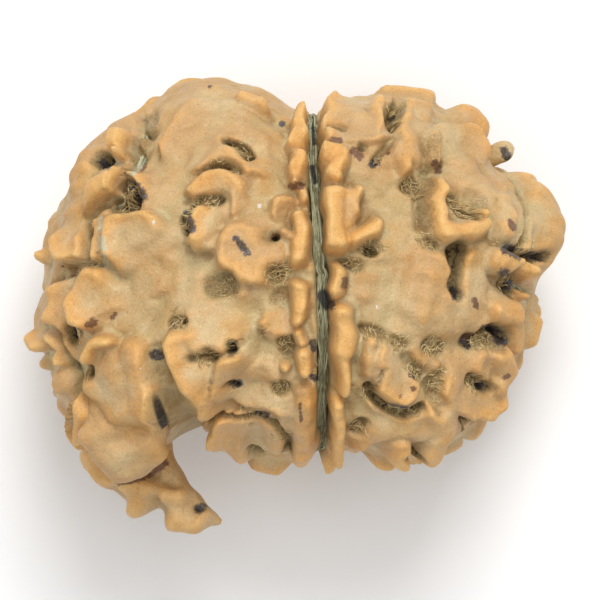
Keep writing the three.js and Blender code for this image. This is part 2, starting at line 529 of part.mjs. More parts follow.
// Height of the relief over the body: knobs and ridges melt into one another and into the mounds
// under them, and then the pits, the furrows and the dimples at the two ends are taken away
function relief(truePoint, { ridges, pits, furrows }) {
  const point = wander(truePoint);
  let piled = 0;
  let mound = 0;
  for (const stroke of ridges) {
    const { size, width, feet } = stroke;
    piled += Math.expm1((KNOB_GAIN * size * knobShare(point, stroke)) / BLEND);
    mound += size * width * Math.exp(-((distanceTo(point, feet) / MOUND_WIDTH) ** 2));
  }
  let height = SWELL.height * swell(point, SWELL.wavelength);
  height += ROUGHNESS.height * swell(point, ROUGHNESS.wavelength);
  height += MOUND_HEIGHT * (1 - Math.exp(-mound / MOUND_FILL)) + BLEND * Math.log1p(piled);
  let dug = 0;
  for (const { size, width, feet } of pits) {
    dug = Math.max(dug, size * Math.exp(-((distanceTo(point, feet) / width / PIT_WIDTH) ** PIT_SHARPNESS)));
  }
  height -= dug;
  let furrow = 0;
  for (const { feet } of furrows) {
    furrow = Math.max(furrow, Math.exp(-((distanceTo(point, feet) / FURROW_WIDTH) ** FURROW_SHARPNESS)));
  }
  height = height * (1 - FURROW_FADE * furrow) - FURROW_DEPTH * furrow;
  for (const { depth, width, place } of POLE_DIMPLES) {
    const pole = bodyPoint(new THREE.Vector3(...place));
    height -= depth * Math.exp(-((truePoint.distanceTo(pole) / width) ** DIMPLE_SHARPNESS));
  }
  const rest = truePoint.distanceTo(new THREE.Vector3(...REST_BUMP.place)) / REST_BUMP.width;
  return Math.max(height, REST_BUMP.height * (1 - rest ** 4));
}

// The mean of the relief at a foot and in rings round it
function meanRelief(direction, features) {
  const foot = bodyPoint(direction);
  const near = Object.fromEntries(Object.entries(features).map(([kind, list]) => (
    [kind, list.filter(({ feet }) => distanceTo(foot, feet) < REACH)])));
  const side = new THREE.Vector3(0, 1, 0.01).cross(direction).normalize();
  const up = direction.clone().cross(side);
  let sum = relief(foot, near);
  for (const ring of MEAN_RINGS) {
    for (let step = 0; step < MEAN_DIRECTIONS; step += 1) {
      const turn = (2 * Math.PI * step) / MEAN_DIRECTIONS;
      const beside = direction.clone()
        .addScaledVector(side, (ring / HALF_DEPTH) * Math.cos(turn))
        .addScaledVector(up, (ring / HALF_DEPTH) * Math.sin(turn))
        .normalize();
      sum += relief(bodyPoint(beside), near);
    }
  }
  return sum / (1 + MEAN_RINGS.length * MEAN_DIRECTIONS);
}

// Draws each vertex part of the way to the mean of its neighbours
function soften(position, index) {
  const sums = Array.from({ length: position.count }, () => ({ total: new THREE.Vector3(), count: 0 }));
  const corner = (item) => index.getX(item);
  for (let item = 0; item < index.count; item += 1) {
    const first = item - (item % 3);
    const here = corner(item);
    const next = corner(first + ((item + 1) % 3));
    sums[here].total.add(new THREE.Vector3().fromBufferAttribute(position, next));
    sums[next].total.add(new THREE.Vector3().fromBufferAttribute(position, here));
    sums[here].count += 1;
    sums[next].count += 1;
  }
  sums.forEach(({ total, count }, vertex) => {
    const point = new THREE.Vector3().fromBufferAttribute(position, vertex);
    point.lerp(total.divideScalar(count), SOFTENING);
    position.setXYZ(vertex, point.x, point.y, point.z);
  });
}

// Cuts each square of the grid along its shorter diagonal, so that ridges aren't sawn across
function cutShort(position, index) {
  const corner = (item) => new THREE.Vector3().fromBufferAttribute(position, index.getX(item));
  const squareItems = 6;
  for (let item = 0; item < index.count; item += squareItems) {
    const [a, b, d, c] = [item, item + 1, item + 2, item + 4];
    if (corner(a).distanceTo(corner(c)) < corner(b).distanceTo(corner(d))) {
      const [first, second, third, fourth] = [a, b, c, d].map((one) => index.getX(one));
      [first, second, third, first, third, fourth].forEach((vertex, step) => index.setX(item + step, vertex));
    }
  }
}

// A cube's grid blown up round, a little finer on its front, and then covered with the relief
function bodyGeometry() {
  const box = new THREE.BoxGeometry(2, 2, 2, STEPS, STEPS, STEPS);
  box.deleteAttribute('normal');
  box.deleteAttribute('uv');
  const geometry = mergeVertices(box);
  const crestLevel = (size) => KNOB_GAIN * size + CREST_LEVEL;
  const pitLevel = () => PIT_LEVEL;
  const knobs = {
    left: strokes([...KNOBS_LEFT, ...RAMPS_LEFT], crestLevel),
    right: strokes([...KNOBS_RIGHT, ...RAMPS_RIGHT], crestLevel),
  };
  const pits = { left: strokes(PITS_LEFT, pitLevel), right: strokes(PITS_RIGHT, pitLevel) };
  const features = {
    ridges: withFeet([...knobs.left, ...knobs.right, ...strokes(FLAP, crestLevel), ...hiddenStrokes(knobs)]),
    pits: withFeet([...pits.left, ...pits.right, ...strokes(HOLLOW, pitLevel), ...hiddenStrokes(pits)]),
    furrows: withFeet(furrowStrokes()),
  };
  const position = geometry.attributes.position;
  const even = (value) => Math.tan((value * Math.PI) / 4);
  for (let index = 0; index < position.count; index += 1) {
    const corner = new THREE.Vector3().fromBufferAttribute(position, index);
    const direction = new THREE.Vector3(even(corner.x), even(corner.y), even(corner.z)).normalize();
    direction.z += FRONT_BIAS;
    direction.normalize();
    const point = bodyPoint(direction).addScaledVector(outward(direction), meanRelief(direction, features));
    position.setXYZ(index, point.x, point.y, point.z);
  }
  soften(position, geometry.index);
  cutShort(position, geometry.index);
  for (let index = 0; index < position.count; index += 1) {
    position.setZ(index, Math.max(position.getZ(index), -REST_DEPTH));
  }
  return geometry;
}

// A limb: an oval carried along its path, uneven, with lumps, and closed at both ends
function limbGeometry(path, lumps) {
  const centre = (t) => new THREE.Vector3(...along(path, t).slice(0, 3));
  const squarer = (value) => Math.sign(value) * Math.abs(value) ** LIMB_SQUARENESS;
  const positions = [];
  const triangles = [];
  for (let row = 0; row <= LIMB_ROWS; row += 1) {
    const t = row / LIMB_ROWS;
    const [, , , halfWidth, halfThickness] = along(path, t);
    const ahead = centre(Math.min(t + 0.01, 1)).sub(centre(Math.max(t - 0.01, 0))).normalize();
    const side = ahead.clone().cross(new THREE.Vector3(0, 0, 1)).normalize();
    const up = side.clone().cross(ahead);
    const taper = Math.min((1 - t) / LIMB_TIP, 1);
    for (let step = 0; step < LIMB_SIDES; step += 1) {
      const turn = (2 * Math.PI * step) / LIMB_SIDES;
      const [across, over] = [squarer(Math.cos(turn)), squarer(Math.sin(turn))];
      const point = centre(t)
        .addScaledVector(side, across * halfWidth)
        .addScaledVector(up, over * halfThickness);
      const out = side.clone().multiplyScalar(across).addScaledVector(up, over);
      point.addScaledVector(out, taper * limbRelief(point, lumps));
      positions.push(...point.toArray());
      if (row < LIMB_ROWS) {
        const here = row * LIMB_SIDES + step;
        const beside = row * LIMB_SIDES + ((step + 1) % LIMB_SIDES);
        triangles.push(here, beside + LIMB_SIDES, beside, here, here + LIMB_SIDES, beside + LIMB_SIDES);
      }
    }
  }
  const rootMiddle = positions.length / 3;
  const tipMiddle = rootMiddle + 1;
  positions.push(...centre(0).toArray(), ...centre(1).toArray());
  for (let step = 0; step < LIMB_SIDES; step += 1) {
    const next = (step + 1) % LIMB_SIDES;
    const tip = LIMB_ROWS * LIMB_SIDES;
    triangles.push(rootMiddle, step, next, tipMiddle, tip + next, tip + step);
  }
  const geometry = new THREE.BufferGeometry();
  geometry.setAttribute('position', new THREE.Float32BufferAttribute(positions, 3));
  geometry.setIndex(triangles);
  return geometry;
}

function limbRelief(point, lumps) {
  let height = LIMB_SWELL.height * swell(point, LIMB_SWELL.wavelength);
  for (const [size, width, [x, y, z]] of lumps) {
    const distance = Math.hypot(point.x - x, point.y - y, (point.z - z) * LUMP_DEPTH_SHARE);
    height += size * Math.exp(-((distance / width) ** LUMP_SHARPNESS));
  }
  return height;
}

// Joins closed geometries into one
const wasm = await Module();
wasm.setup();

function solidOf(geometry) {
  const vertProperties = Float32Array.from(geometry.attributes.position.array);
  const triVerts = Uint32Array.from(geometry.index.array);
  return new wasm.Manifold(new wasm.Mesh({ numProp: 3, vertProperties, triVerts }));
}

function geometryOf(solid) {
  const mesh = solid.getMesh();
  const geometry = new THREE.BufferGeometry();
  geometry.setAttribute('position', new THREE.BufferAttribute(mesh.vertProperties, 3));
  geometry.setIndex(new THREE.BufferAttribute(mesh.triVerts, 1));
  return geometry;
}

function seedGeometry() {
  const limbs = [limbGeometry(TOE, TOE_LUMPS), limbGeometry(NUB, []), limbGeometry(TRUNK, TRUNK_LUMPS)];
  const joined = limbs.reduce((solid, limb) => solid.add(solidOf(limb)), solidOf(bodyGeometry()));
  // What the join seals off inside is filled, and what it leaves loose is dropped
  const [whole] = joined.decompose().sort((one, other) => other.volume() - one.volume());
  const geometry = geometryOf(whole);
  geometry.translate(-BOX_MIDDLE[0], -BOX_MIDDLE[1], REST_DEPTH);
  geometry.computeVertexNormals();
  return geometry;
}

const seed = new THREE.Mesh(
  seedGeometry(),
  new THREE.MeshStandardMaterial({ color: COLOUR, roughness: 0.6, metalness: 0 }),
);
seed.name = 'rudraksha_seed';

const part = new THREE.Group();
part.add(seed);
export default part;
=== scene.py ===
# %% [markdown]
# # A rudraksha seed
# The seed is one natural stone: a rounded body with a furrow between each two of its faces, crowded
# with knobs and pits, and a short trunk at one side. It lies on its back and is seen from straight
# above. Everything here is worked out with numpy from a few named lists, in millimetres, and is put
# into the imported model's frame at the end.

import bpy
import numpy as np
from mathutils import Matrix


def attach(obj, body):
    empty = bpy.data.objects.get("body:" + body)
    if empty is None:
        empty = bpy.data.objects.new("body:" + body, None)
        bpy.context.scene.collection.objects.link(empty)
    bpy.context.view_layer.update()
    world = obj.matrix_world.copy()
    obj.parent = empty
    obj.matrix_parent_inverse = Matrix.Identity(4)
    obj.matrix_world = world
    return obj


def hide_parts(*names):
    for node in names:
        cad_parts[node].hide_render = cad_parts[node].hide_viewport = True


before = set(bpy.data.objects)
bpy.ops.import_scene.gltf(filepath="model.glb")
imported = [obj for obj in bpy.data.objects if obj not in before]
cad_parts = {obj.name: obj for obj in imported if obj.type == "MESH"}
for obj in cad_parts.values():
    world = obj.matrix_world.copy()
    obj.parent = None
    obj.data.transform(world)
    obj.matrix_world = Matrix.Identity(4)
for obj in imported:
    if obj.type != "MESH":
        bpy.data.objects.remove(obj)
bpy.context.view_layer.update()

# %% [markdown]
# ## The body under the relief
# A real seed of this kind grows nearly round about its stem axis, but its outline is lumpy. One
# could sculpt it from a sphere. Here it is a sphere whose radius, seen from the front, follows a
# short list of radii, one every 15 degrees, because a list is easy to compare with the real outline.

# %% The body's measures
MILLIMETRE = 0.001
RIM_RADII = np.array([
    11.7, 12.7, 11.2, 11.1, 10.4, 9.4, 8.4, 10.2, 11.1, 11.3, 12.2, 12.3,
    12.4, 12.9, 13.1, 12.4, 8.5, 8.8, 8.9, 8.8, 10.2, 11.1, 11.1, 11.4,
])
HALF_DEPTH = 9.4
REST_DEPTH = 10.1
BOX_MIDDLE = (-0.06, -1.37)
FACE_LEAN = 1.0


def to_frame(points):
    """Moves points from the body's own middle, in millimetres, to the row frame, in metres."""
    return (points - [BOX_MIDDLE[0], BOX_MIDDLE[1], -REST_DEPTH]) * MILLIMETRE


def blend_four(values, place, hold):
    """Catmull-Rom: the cubic through the two listed values round each place that leans on the
    next ones on either side. hold keeps an index inside the list."""
    first = np.floor(place).astype(int)
    t = place - first
    t = t.reshape(t.shape + (1,) * (values.ndim - 1))
    a, b, c, d = (values[hold(first + step)] for step in (-1, 0, 1, 2))
    curve = 2 * b + (c - a) * t + (2 * a - 5 * b + 4 * c - d) * t**2 + (3 * b - a - 3 * c + d) * t**3
    return curve / 2


def along(rows, t):
    """A smooth run through rows of numbers, at t from 0 to 1."""
    rows = np.asarray(rows, float)
    last = len(rows) - 1
    place = np.clip(np.asarray(t, float) * last, 0, last - 1e-9)
    return blend_four(rows, place, lambda index: np.clip(index, 0, last))


def rim_radius(x, y):
    """The body's radius seen from the front, in the direction of x, y."""
    count = len(RIM_RADII)
    place = np.mod(np.arctan2(y, x) / (2 * np.pi), 1) * count
    return blend_four(RIM_RADII, np.atleast_1d(place), lambda index: index % count)


def body_point(directions):
    """A direction scaled by the rim radius across the picture and by the half depth along it."""
    rim = rim_radius(directions[:, 0], directions[:, 1])
    return directions * np.stack([rim, rim, np.full_like(rim, HALF_DEPTH)], -1)


def outward(directions):
    """The way the relief stands out: the ellipsoid's normal, leaning towards the front or back."""
    rim = rim_radius(directions[:, 0], directions[:, 1])
    normal = directions / np.stack([rim, rim, np.full_like(rim, HALF_DEPTH / (1 + FACE_LEAN))], -1)
    return unit(normal)


def unit(vectors):
    """Vectors divided by their own lengths."""
    return vectors / np.linalg.norm(vectors, axis=-1, keepdims=True)


print("rim radius to the right and to the left:", rim_radius(1.0, 0.0), rim_radius(-1.0, 0.0))

# %% [markdown]
# ## Knobs, ridges, pits and furrows
# What makes this seed is its relief. It could be a noise texture, but then no knob would stand where
# it really does. So each knob and pit is written down: its height or depth, its half-width, and the
# points in millimetres that it runs through as it is seen from the front.

# %% The lists of the relief
# Each row is a height, a half-width and the points that the crest runs through, seen from the front.
# A third number on a point is its height above the seed's middle plane, for the rim and round it.
KNOBS_LEFT = [
    # Beside the middle furrow, from the stem end down
    [0.9, 0.46, [0.0, 8.3], [-0.05, 7.5], [-0.15, 6.75]],
    [1.0, 0.46, [-0.15, 6.15], [-0.15, 5.3]],
    [1.1, 0.26, [-0.25, 4.95]],
    [0.7, 0.34, [0.1, 4.5], [0.2, 4.0]],
    [1.15, 0.42, [0.02, 3.35], [0.0, 2.0]],
    [1.2, 0.5, [-0.05, 2.0], [-0.1, 1.15]],
    [0.7, 0.3, [-0.8, 2.4], [-0.2, 2.0]],
    [1.2, 0.48, [-0.05, -0.5], [-0.05, -1.9]],
    [0.95, 0.32, [0.0, -2.6], [0.15, -3.3]],
    [1.05, 0.44, [0.15, -3.9], [0.2, -4.5]],
    [0.75, 0.34, [-0.85, -4.3]],
    [0.7, 0.62, [0.1, -5.6], [0.15, -7.5], [0.0, -9.1]],
    [0.5, 0.5, [-0.6, -6.0], [-0.6, -8.3]],
    # The long brow at the stem end and the shoulder below it
    [0.3, 1.4, [-7.2, 8.6], [-5.2, 9.2], [-3.4, 8.9]],
    [0.75, 0.5, [-2.9, 9.3], [-1.95, 9.0]],
    [0.3, 1.0, [-11.2, 5.0], [-10.2, 6.9], [-8.6, 8.1]],
    # Knobs beside the left furrow
    [1.05, 0.6, [-9.35, 7.15], [-8.7, 7.2]],
    [0.9, 0.45, [-8.95, 6.6]],
    [0.8, 0.5, [-9.9, 3.95]],
    [0.6, 1.0, [-11.5, 3.3]],
    [0.55, 0.85, [-11.6, 1.9], [-10.9, 1.9]],
    [0.9, 0.4, [-12.7, 1.2, -0.5]],
    [1.0, 0.5, [-12.9, -2.9, 0.6], [-12.2, -3.1, 1.5]],
    [0.8, 0.55, [-12.1, -4.0]],
    [0.7, 0.45, [-12.5, -4.1, 0.0]],
    [0.5, 0.9, [-12.0, -5.2]],
    [0.9, 0.85, [-11.2, -6.6], [-11.3, -8.0, 1.0]],
    [1.0, 0.4, [-10.65, -3.95], [-10.35, -3.3], [-9.5, -3.05]],
    [0.5, 0.6, [-9.6, -3.6]],
    [0.55, 0.7, [-10.5, -5.4], [-10.1, -5.6]],
    # The left face, from the stem end down
    [0.35, 0.6, [-1.9, 7.0], [-2.1, 5.75]],
    [0.5, 0.45, [-2.95, 0.4], [-2.85, -0.45]],
    [0.45, 0.8, [-5.0, -2.25]],
    [0.5, 0.9, [-4.6, -4.6], [-4.7, -5.4]],
    [0.55, 0.8, [-2.3, -4.6], [-1.6, -4.6]],
    [0.75, 0.8, [-3.2, -7.4], [-3.3, -8.8]],
    [0.8, 0.8, [-1.9, -8.9, 0.5], [-1.4, -9.2, 0.0]],
    [0.5, 0.7, [-1.6, -7.2], [-1.2, -8.4]],
]
FLAP = [
    [0.58, 1.5, [-9.3, -4.6], [-9.2, -6.2]],
    [0.6, 1.0, [-8.4, -3.9], [-8.05, -5.0], [-7.85, -6.4]],
]
KNOBS_RIGHT = [
    # Beside the middle furrow, from the stem end down
    [0.85, 1.2, [2.8, 8.0], [3.3, 7.6]],
    [1.15, 0.62, [1.4, 6.35], [2.05, 6.25], [1.75, 5.6]],
    [1.05, 0.4, [1.45, 5.45], [1.95, 5.25]],
    [1.25, 0.72, [1.72, 4.3], [1.75, 3.2], [1.75, 2.1]],
    [1.0, 0.75, [2.3, 4.0], [2.3, 2.9]],
    [0.95, 0.34, [2.85, 4.4], [2.75, 3.4]],
    [1.05, 0.45, [2.6, 2.1], [3.65, 2.6]],
    [1.15, 0.48, [1.85, 0.35], [1.75, -0.5]],
    [1.15, 0.62, [2.15, -1.7], [2.25, -3.5]],
    [1.05, 0.4, [2.2, -3.75], [2.25, -5.5]],
    [1.05, 0.42, [1.95, -6.15], [1.9, -7.5], [1.85, -8.9]],
    [0.8, 0.6, [1.4, -9.1, 0.4]],
    # Blocks at the stem end and along the rim
    [0.9, 0.4, [3.85, 8.9], [3.9, 8.2], [3.8, 7.4]],
    [0.7, 0.9, [6.0, 8.6], [6.1, 7.7]],
    [0.5, 0.6, [5.6, 7.4], [5.5, 6.6]],
    [0.7, 0.7, [4.4, 9.3, -1.0], [6.2, 9.3, -1.0]],
    [0.85, 0.9, [8.0, 8.0, 0.5], [8.6, 7.7, 0.5]],
    [0.55, 0.5, [4.95, 6.7], [5.3, 5.6]],
    [0.95, 0.5, [6.75, 7.2], [6.85, 6.2]],
    # The dome and the hooked ridge under it
    [0.75, 1.3, [8.5, 5.4], [9.2, 4.6]],
    [0.6, 0.7, [9.8, 4.8], [10.3, 3.8], [10.3, 2.6]],
    [1.0, 0.55, [7.0, 4.75], [6.85, 4.0], [7.0, 2.9]],
    [1.0, 0.58, [7.15, 2.6], [8.2, 2.4], [9.1, 2.8]],
    [0.95, 0.38, [9.25, 3.4]],
    # Lobes round the right rim
    [0.5, 1.4, [11.9, 4.0, 1.0], [12.3, 2.75, 1.0], [12.3, 1.6, 1.0]],
    [0.6, 0.7, [11.0, 5.0, 0.0]],
    [0.9, 0.6, [9.9, 1.0], [10.9, 0.55], [11.5, 0.05]],
    [0.5, 0.6, [11.4, -0.4]],
    [0.75, 0.6, [11.9, -2.25, -0.5], [11.85, -3.0, -0.5]],
    [0.8, 0.75, [10.0, -1.5], [11.0, -1.75]],
    [0.6, 0.6, [11.0, -2.0], [10.9, -3.4]],
    # The broad middle of the right face and its lower knobs
    [0.4, 1.2, [6.5, 0.5], [6.5, -1.5], [9.0, -1.6]],
    [0.35, 0.8, [6.6, 1.0], [6.7, -0.25]],
    [0.35, 0.9, [8.9, 1.0], [8.8, -0.5]],
    [0.8, 0.65, [10.1, -3.7], [10.3, -4.7], [9.9, -5.4]],
    [0.5, 1.0, [9.3, -5.3], [9.2, -4.0]],
    [0.65, 0.5, [3.45, -3.3], [3.5, -4.6]],
    [0.4, 1.2, [4.2, -3.9], [4.5, -4.8]],
    [0.45, 0.7, [3.8, -6.4], [5.2, -6.8], [6.4, -7.3]],
    [0.35, 1.0, [3.0, -7.2], [4.6, -7.5]],
    [0.95, 1.15, [7.2, -6.8], [7.0, -8.0]],
    [1.0, 0.8, [6.9, -8.2], [6.65, -8.9]],
    [1.0, 0.65, [5.0, -8.3], [5.0, -9.1]],
    [0.6, 0.7, [3.9, -8.7, -0.5]],
    [0.35, 0.4, [6.8, -4.3]],
]
# Ramps: each row is a height, the half-width of the steep side, the length of the slope on the right
# hand of whoever walks along the crest, and the crest's points.
RAMPS_LEFT = [
    # Brow and shoulder
    [0.5, 0.4, 1.5, [-6.9, 6.9], [-6.1, 8.0], [-5.5, 8.7]],
    # Beside the left furrow
    [1.1, 0.36, 1.6, [-10.4, 4.7], [-9.6, 5.0], [-8.95, 5.3]],
    [1.1, 0.36, 1.6, [-8.95, 5.3], [-8.75, 4.9], [-8.85, 4.3]],
    [1.0, 0.4, 2.2, [-9.65, 1.4], [-9.7, 2.5], [-9.4, 3.1], [-8.6, 3.25], [-7.75, 3.3]],
    [0.95, 0.4, 1.7, [-10.8, 0.75], [-11.4, 0.7], [-11.95, 1.05], [-12.3, 1.6]],
    [0.8, 0.5, 1.3, [-12.7, -2.6], [-12.5, -1.5], [-12.4, -0.1]],
    [1.05, 0.4, 1.9, [-11.25, -2.0], [-11.4, -1.1], [-11.0, -0.2], [-10.6, 0.25]],
    [0.75, 0.3, 1.5, [-10.6, 0.25], [-9.9, 0.15]],
    # The left face, from the stem end down
    [0.55, 0.3, 1.1, [-2.5, 5.4], [-3.2, 6.15], [-3.9, 6.4], [-4.9, 5.7]],
    [0.75, 0.36, 1.5, [-5.4, 4.4], [-4.75, 5.1], [-4.05, 5.3], [-3.4, 5.1], [-2.95, 4.75]],
    [0.75, 0.24, 0.9, [-3.3, 3.3], [-3.45, 4.2]],
    [0.65, 0.26, 1.0, [-1.35, 3.3], [-1.25, 3.9], [-0.75, 4.0]],
    [0.95, 0.36, 1.5, [-5.15, 2.0], [-5.35, 2.6], [-5.05, 3.5]],
    [0.6, 0.3, 1.1, [-5.05, 3.5], [-4.4, 3.1], [-3.95, 2.6]],
    [0.85, 0.4, 1.0, [-4.3, 1.7], [-5.15, 1.75]],
    [1.0, 0.42, 2.4, [-2.9, 0.1], [-3.65, 0.75], [-3.9, 1.8], [-3.55, 2.4], [-2.8, 2.6]],
    [0.65, 0.32, 1.4, [-0.95, 0.95], [-1.9, 0.75], [-2.8, 0.2]],
    [0.55, 0.22, 1.5, [-0.5, -2.6], [-1.3, -2.45], [-2.0, -2.2]],
    [0.75, 0.3, 1.5, [-3.9, -3.4], [-4.7, -3.35], [-5.3, -3.45], [-5.55, -3.15], [-5.5, -2.7]],
    [0.9, 0.34, 2.0, [-4.25, -5.8], [-4.2, -4.9], [-4.0, -4.2], [-3.5, -3.85]],
    [0.65, 0.3, 1.7, [-0.8, -6.7], [-1.8, -6.3], [-3.0, -5.95], [-4.2, -5.75]],
    [0.95, 0.42, 2.0, [-5.05, -6.8], [-5.5, -6.2], [-5.95, -5.2], [-6.2, -4.2], [-6.5, -3.3]],
    [0.8, 0.35, 1.5, [-4.4, -5.8], [-4.95, -6.8]],
    [0.85, 0.4, 1.8, [-4.1, -8.4], [-4.2, -7.9], [-3.9, -7.2], [-3.5, -6.75]],
]
RAMPS_RIGHT = [
    # Blocks at the stem end
    [0.85, 0.3, 2.6, [1.4, 7.1], [1.4, 8.0], [1.5, 9.0]],
    [0.85, 0.3, 1.8, [3.9, 7.1], [2.8, 6.95], [1.8, 7.0]],
    [0.85, 0.32, 2.0, [5.0, 7.3], [4.95, 8.2], [5.1, 8.9]],
    [0.8, 0.36, 1.8, [6.9, 7.6], [8.1, 7.7], [8.85, 7.35], [9.25, 6.7]],
    # The tongue, the smooth lobe under it and the scalloped ledge beside them
    [0.85, 0.34, 1.6, [5.9, -5.3], [5.55, -5.9], [4.9, -5.95], [4.25, -5.65], [4.05, -5.0], [4.0, -3.8]],
    [0.75, 0.36, 1.8, [6.6, -7.3], [6.0, -7.9], [5.2, -7.7], [4.2, -7.9], [3.2, -8.25]],
    [0.85, 0.32, 1.6, [9.9, -6.35], [9.2, -6.8], [8.2, -6.7], [7.6, -6.25], [7.4, -5.6]],
]
# Each row is a depth, a half-width and the points that the pit runs through.
PITS_LEFT = [
    [0.75, 0.26, [-3.55, 6.75], [-3.0, 6.45], [-2.4, 5.95]],
    [0.45, 0.16, [-4.85, 5.05], [-4.3, 5.5], [-3.6, 5.6], [-3.0, 5.2]],
    [0.6, 0.24, [-5.4, 3.3], [-4.9, 3.75], [-3.9, 3.75]],
    [0.7, 0.24, [-5.6, 3.0], [-5.4, 2.4]],
    [1.2, 0.16, [-1.1, 2.0]],
    [0.3, 0.4, [-1.3, 2.05]],
    [0.45, 0.5, [-1.2, 0.3]],
    [0.5, 0.55, [-4.2, -0.35], [-3.6, -0.15]],
    [0.35, 0.3, [-3.4, -0.4]],
    [0.45, 0.32, [-6.3, -2.05], [-5.75, -1.95]],
    [1.1, 0.17, [-5.6, -1.95]],
    [0.25, 0.55, [-1.1, -0.9]],
    [0.5, 0.2, [-5.3, -3.75], [-4.25, -3.85]],
    [0.7, 0.2, [-3.35, -3.1], [-3.4, -3.4]],
    [0.4, 0.35, [-0.7, -2.9], [-0.6, -3.4]],
    [0.75, 0.2, [-3.2, -4.85], [-2.95, -4.9]],
    [0.5, 0.4, [-0.95, -5.1]],
    [0.5, 0.16, [-4.4, -6.7], [-3.9, -6.3], [-3.0, -6.1], [-2.1, -6.4], [-1.5, -6.65]],
    [0.5, 0.16, [-1.5, -6.65], [-0.9, -6.9], [-0.6, -7.4], [-0.55, -8.0]],
    [0.45, 0.35, [-4.25, -6.8]],
    [0.8, 0.32, [-2.25, -8.0], [-2.0, -8.4]],
    [1.1, 0.4, [-10.0, 5.95], [-9.6, 5.85]],
    [0.35, 0.5, [-7.2, 8.0], [-7.6, 7.0], [-8.0, 6.0]],
    [1.2, 0.4, [-8.2, 4.6], [-8.15, 3.75], [-8.9, 3.6]],
    [1.0, 0.42, [-11.1, -2.55]],
    [0.5, 0.25, [-11.1, -4.4]],
    [0.7, 0.25, [-10.25, -4.5]],
    [0.7, 0.25, [-10.4, -8.6]],
]
HOLLOW = [
    [0.75, 0.6, [-7.0, -3.9], [-6.7, -5.2], [-6.3, -6.2]],
    [1.3, 0.9, [-6.0, -6.2], [-5.8, -7.2], [-5.7, -7.9, 0.0]],
    [1.5, 1.2, [-5.6, -7.6, -2.0], [-5.3, -6.8, -5.0]],
    [2.2, 0.4, [-6.8, -5.9], [-6.55, -6.9], [-6.4, -7.7]],
]
PITS_RIGHT = [
    [0.8, 0.3, [4.8, 8.8], [4.5, 8.0], [4.3, 7.3]],
    [0.35, 0.22, [4.25, 6.4], [3.75, 5.8]],
    [0.45, 0.2, [2.85, 6.35]],
    [0.5, 0.16, [1.5, 7.05], [2.0, 7.0]],
    [0.5, 0.45, [5.5, 4.6]],
    [0.3, 0.4, [6.25, 6.5], [6.15, 5.0], [6.05, 2.75]],
    [0.5, 0.22, [6.85, 5.7]],
    [0.5, 0.26, [7.45, 4.0], [7.8, 3.4], [8.35, 3.05]],
    [0.25, 0.5, [8.3, 3.9], [8.8, 3.6]],
    [0.9, 0.34, [7.65, 1.3], [7.55, 0.0], [7.7, -0.6]],
    [0.9, 0.44, [7.75, 1.4], [7.62, 0.85]],
    [0.35, 0.45, [6.4, 1.8]],
    [1.1, 0.22, [3.4, 1.4], [3.65, 1.35]],
    [0.3, 0.4, [3.7, 1.6]],
    [0.35, 0.35, [2.3, 0.85], [2.9, 0.75]],
    [1.0, 0.26, [10.4, 1.45], [11.2, 1.2], [11.9, 1.1]],
    [0.9, 0.4, [10.15, 0.05], [10.3, -0.5]],
    [0.35, 0.15, [10.6, 2.7]],
    [0.9, 0.2, [8.9, -2.5], [9.4, -2.4], [10.0, -2.8]],
    [0.45, 0.4, [8.2, -3.0], [9.6, -3.05]],
    [0.35, 0.45, [6.35, -3.15], [6.9, -3.4]],
    [0.3, 0.24, [2.95, -2.45], [3.8, -2.6], [4.5, -2.85], [5.1, -3.25]],
    [0.32, 0.32, [5.15, -3.7], [5.6, -4.3], [5.95, -4.7]],
    [0.6, 0.32, [8.2, -4.7], [8.9, -5.1]],
    [0.3, 0.14, [3.85, -4.3], [3.75, -5.0]],
    [0.3, 0.4, [6.3, -5.1], [6.6, -6.0]],
    [0.7, 0.24, [3.45, -5.2], [3.65, -5.85], [4.3, -6.2], [5.1, -6.4], [5.75, -6.15]],
    [0.45, 0.32, [2.6, -7.1], [2.9, -6.8]],
    [1.0, 0.22, [4.9, -7.9], [5.5, -8.2]],
    [1.2, 0.22, [5.75, -8.3, 0.5], [5.8, -8.2, -1.0]],
    [0.7, 0.22, [7.8, -6.9], [8.7, -7.2]],
    [0.8, 0.2, [11.35, -2.3], [11.15, -3.7]],
]
# The furrows between the faces, from the stem end down
GROOVE = [
    [0.75, 7.6, -2.6], [0.75, 8.2, 0.0], [0.65, 7.9], [0.6, 7.25], [0.62, 6.25], [0.68, 5.25],
    [0.75, 4.0], [0.85, 2.5], [0.98, 1.0], [1.08, -0.5], [1.12, -2.0], [1.15, -3.5], [1.12, -5.0],
    [1.08, -6.5], [1.0, -8.0], [0.9, -8.9, 0.5], [0.8, -8.4, -2.6],
]
LEFT_FURROW = [
    [-3.0, 8.6, 1.0], [-7.3, 7.9], [-7.6, 6.6], [-8.0, 5.4], [-8.4, 4.0], [-9.3, 3.4], [-9.9, 2.9],
    [-9.9, 1.9], [-9.8, 0.9], [-10.8, 0.45], [-11.7, -0.4], [-11.8, -1.4], [-11.3, -2.6],
    [-10.6, -4.6], [-10.4, -6.0], [-10.6, -7.4], [-10.9, -8.4, 1.5],
]
RIGHT_FURROW = [
    [3.0, 8.6, -0.5], [9.6, 6.2, 1.0], [10.4, 5.2], [10.75, 4.0], [11.0, 2.7], [10.85, 2.0], [10.4, 1.2],
    [10.1, 0.0], [11.0, -0.8], [11.5, -2.0], [11.35, -3.4], [11.0, -4.6, 1.0], [9.0, -7.0, 0.0],
    [3.0, -8.6, 0.0],
]
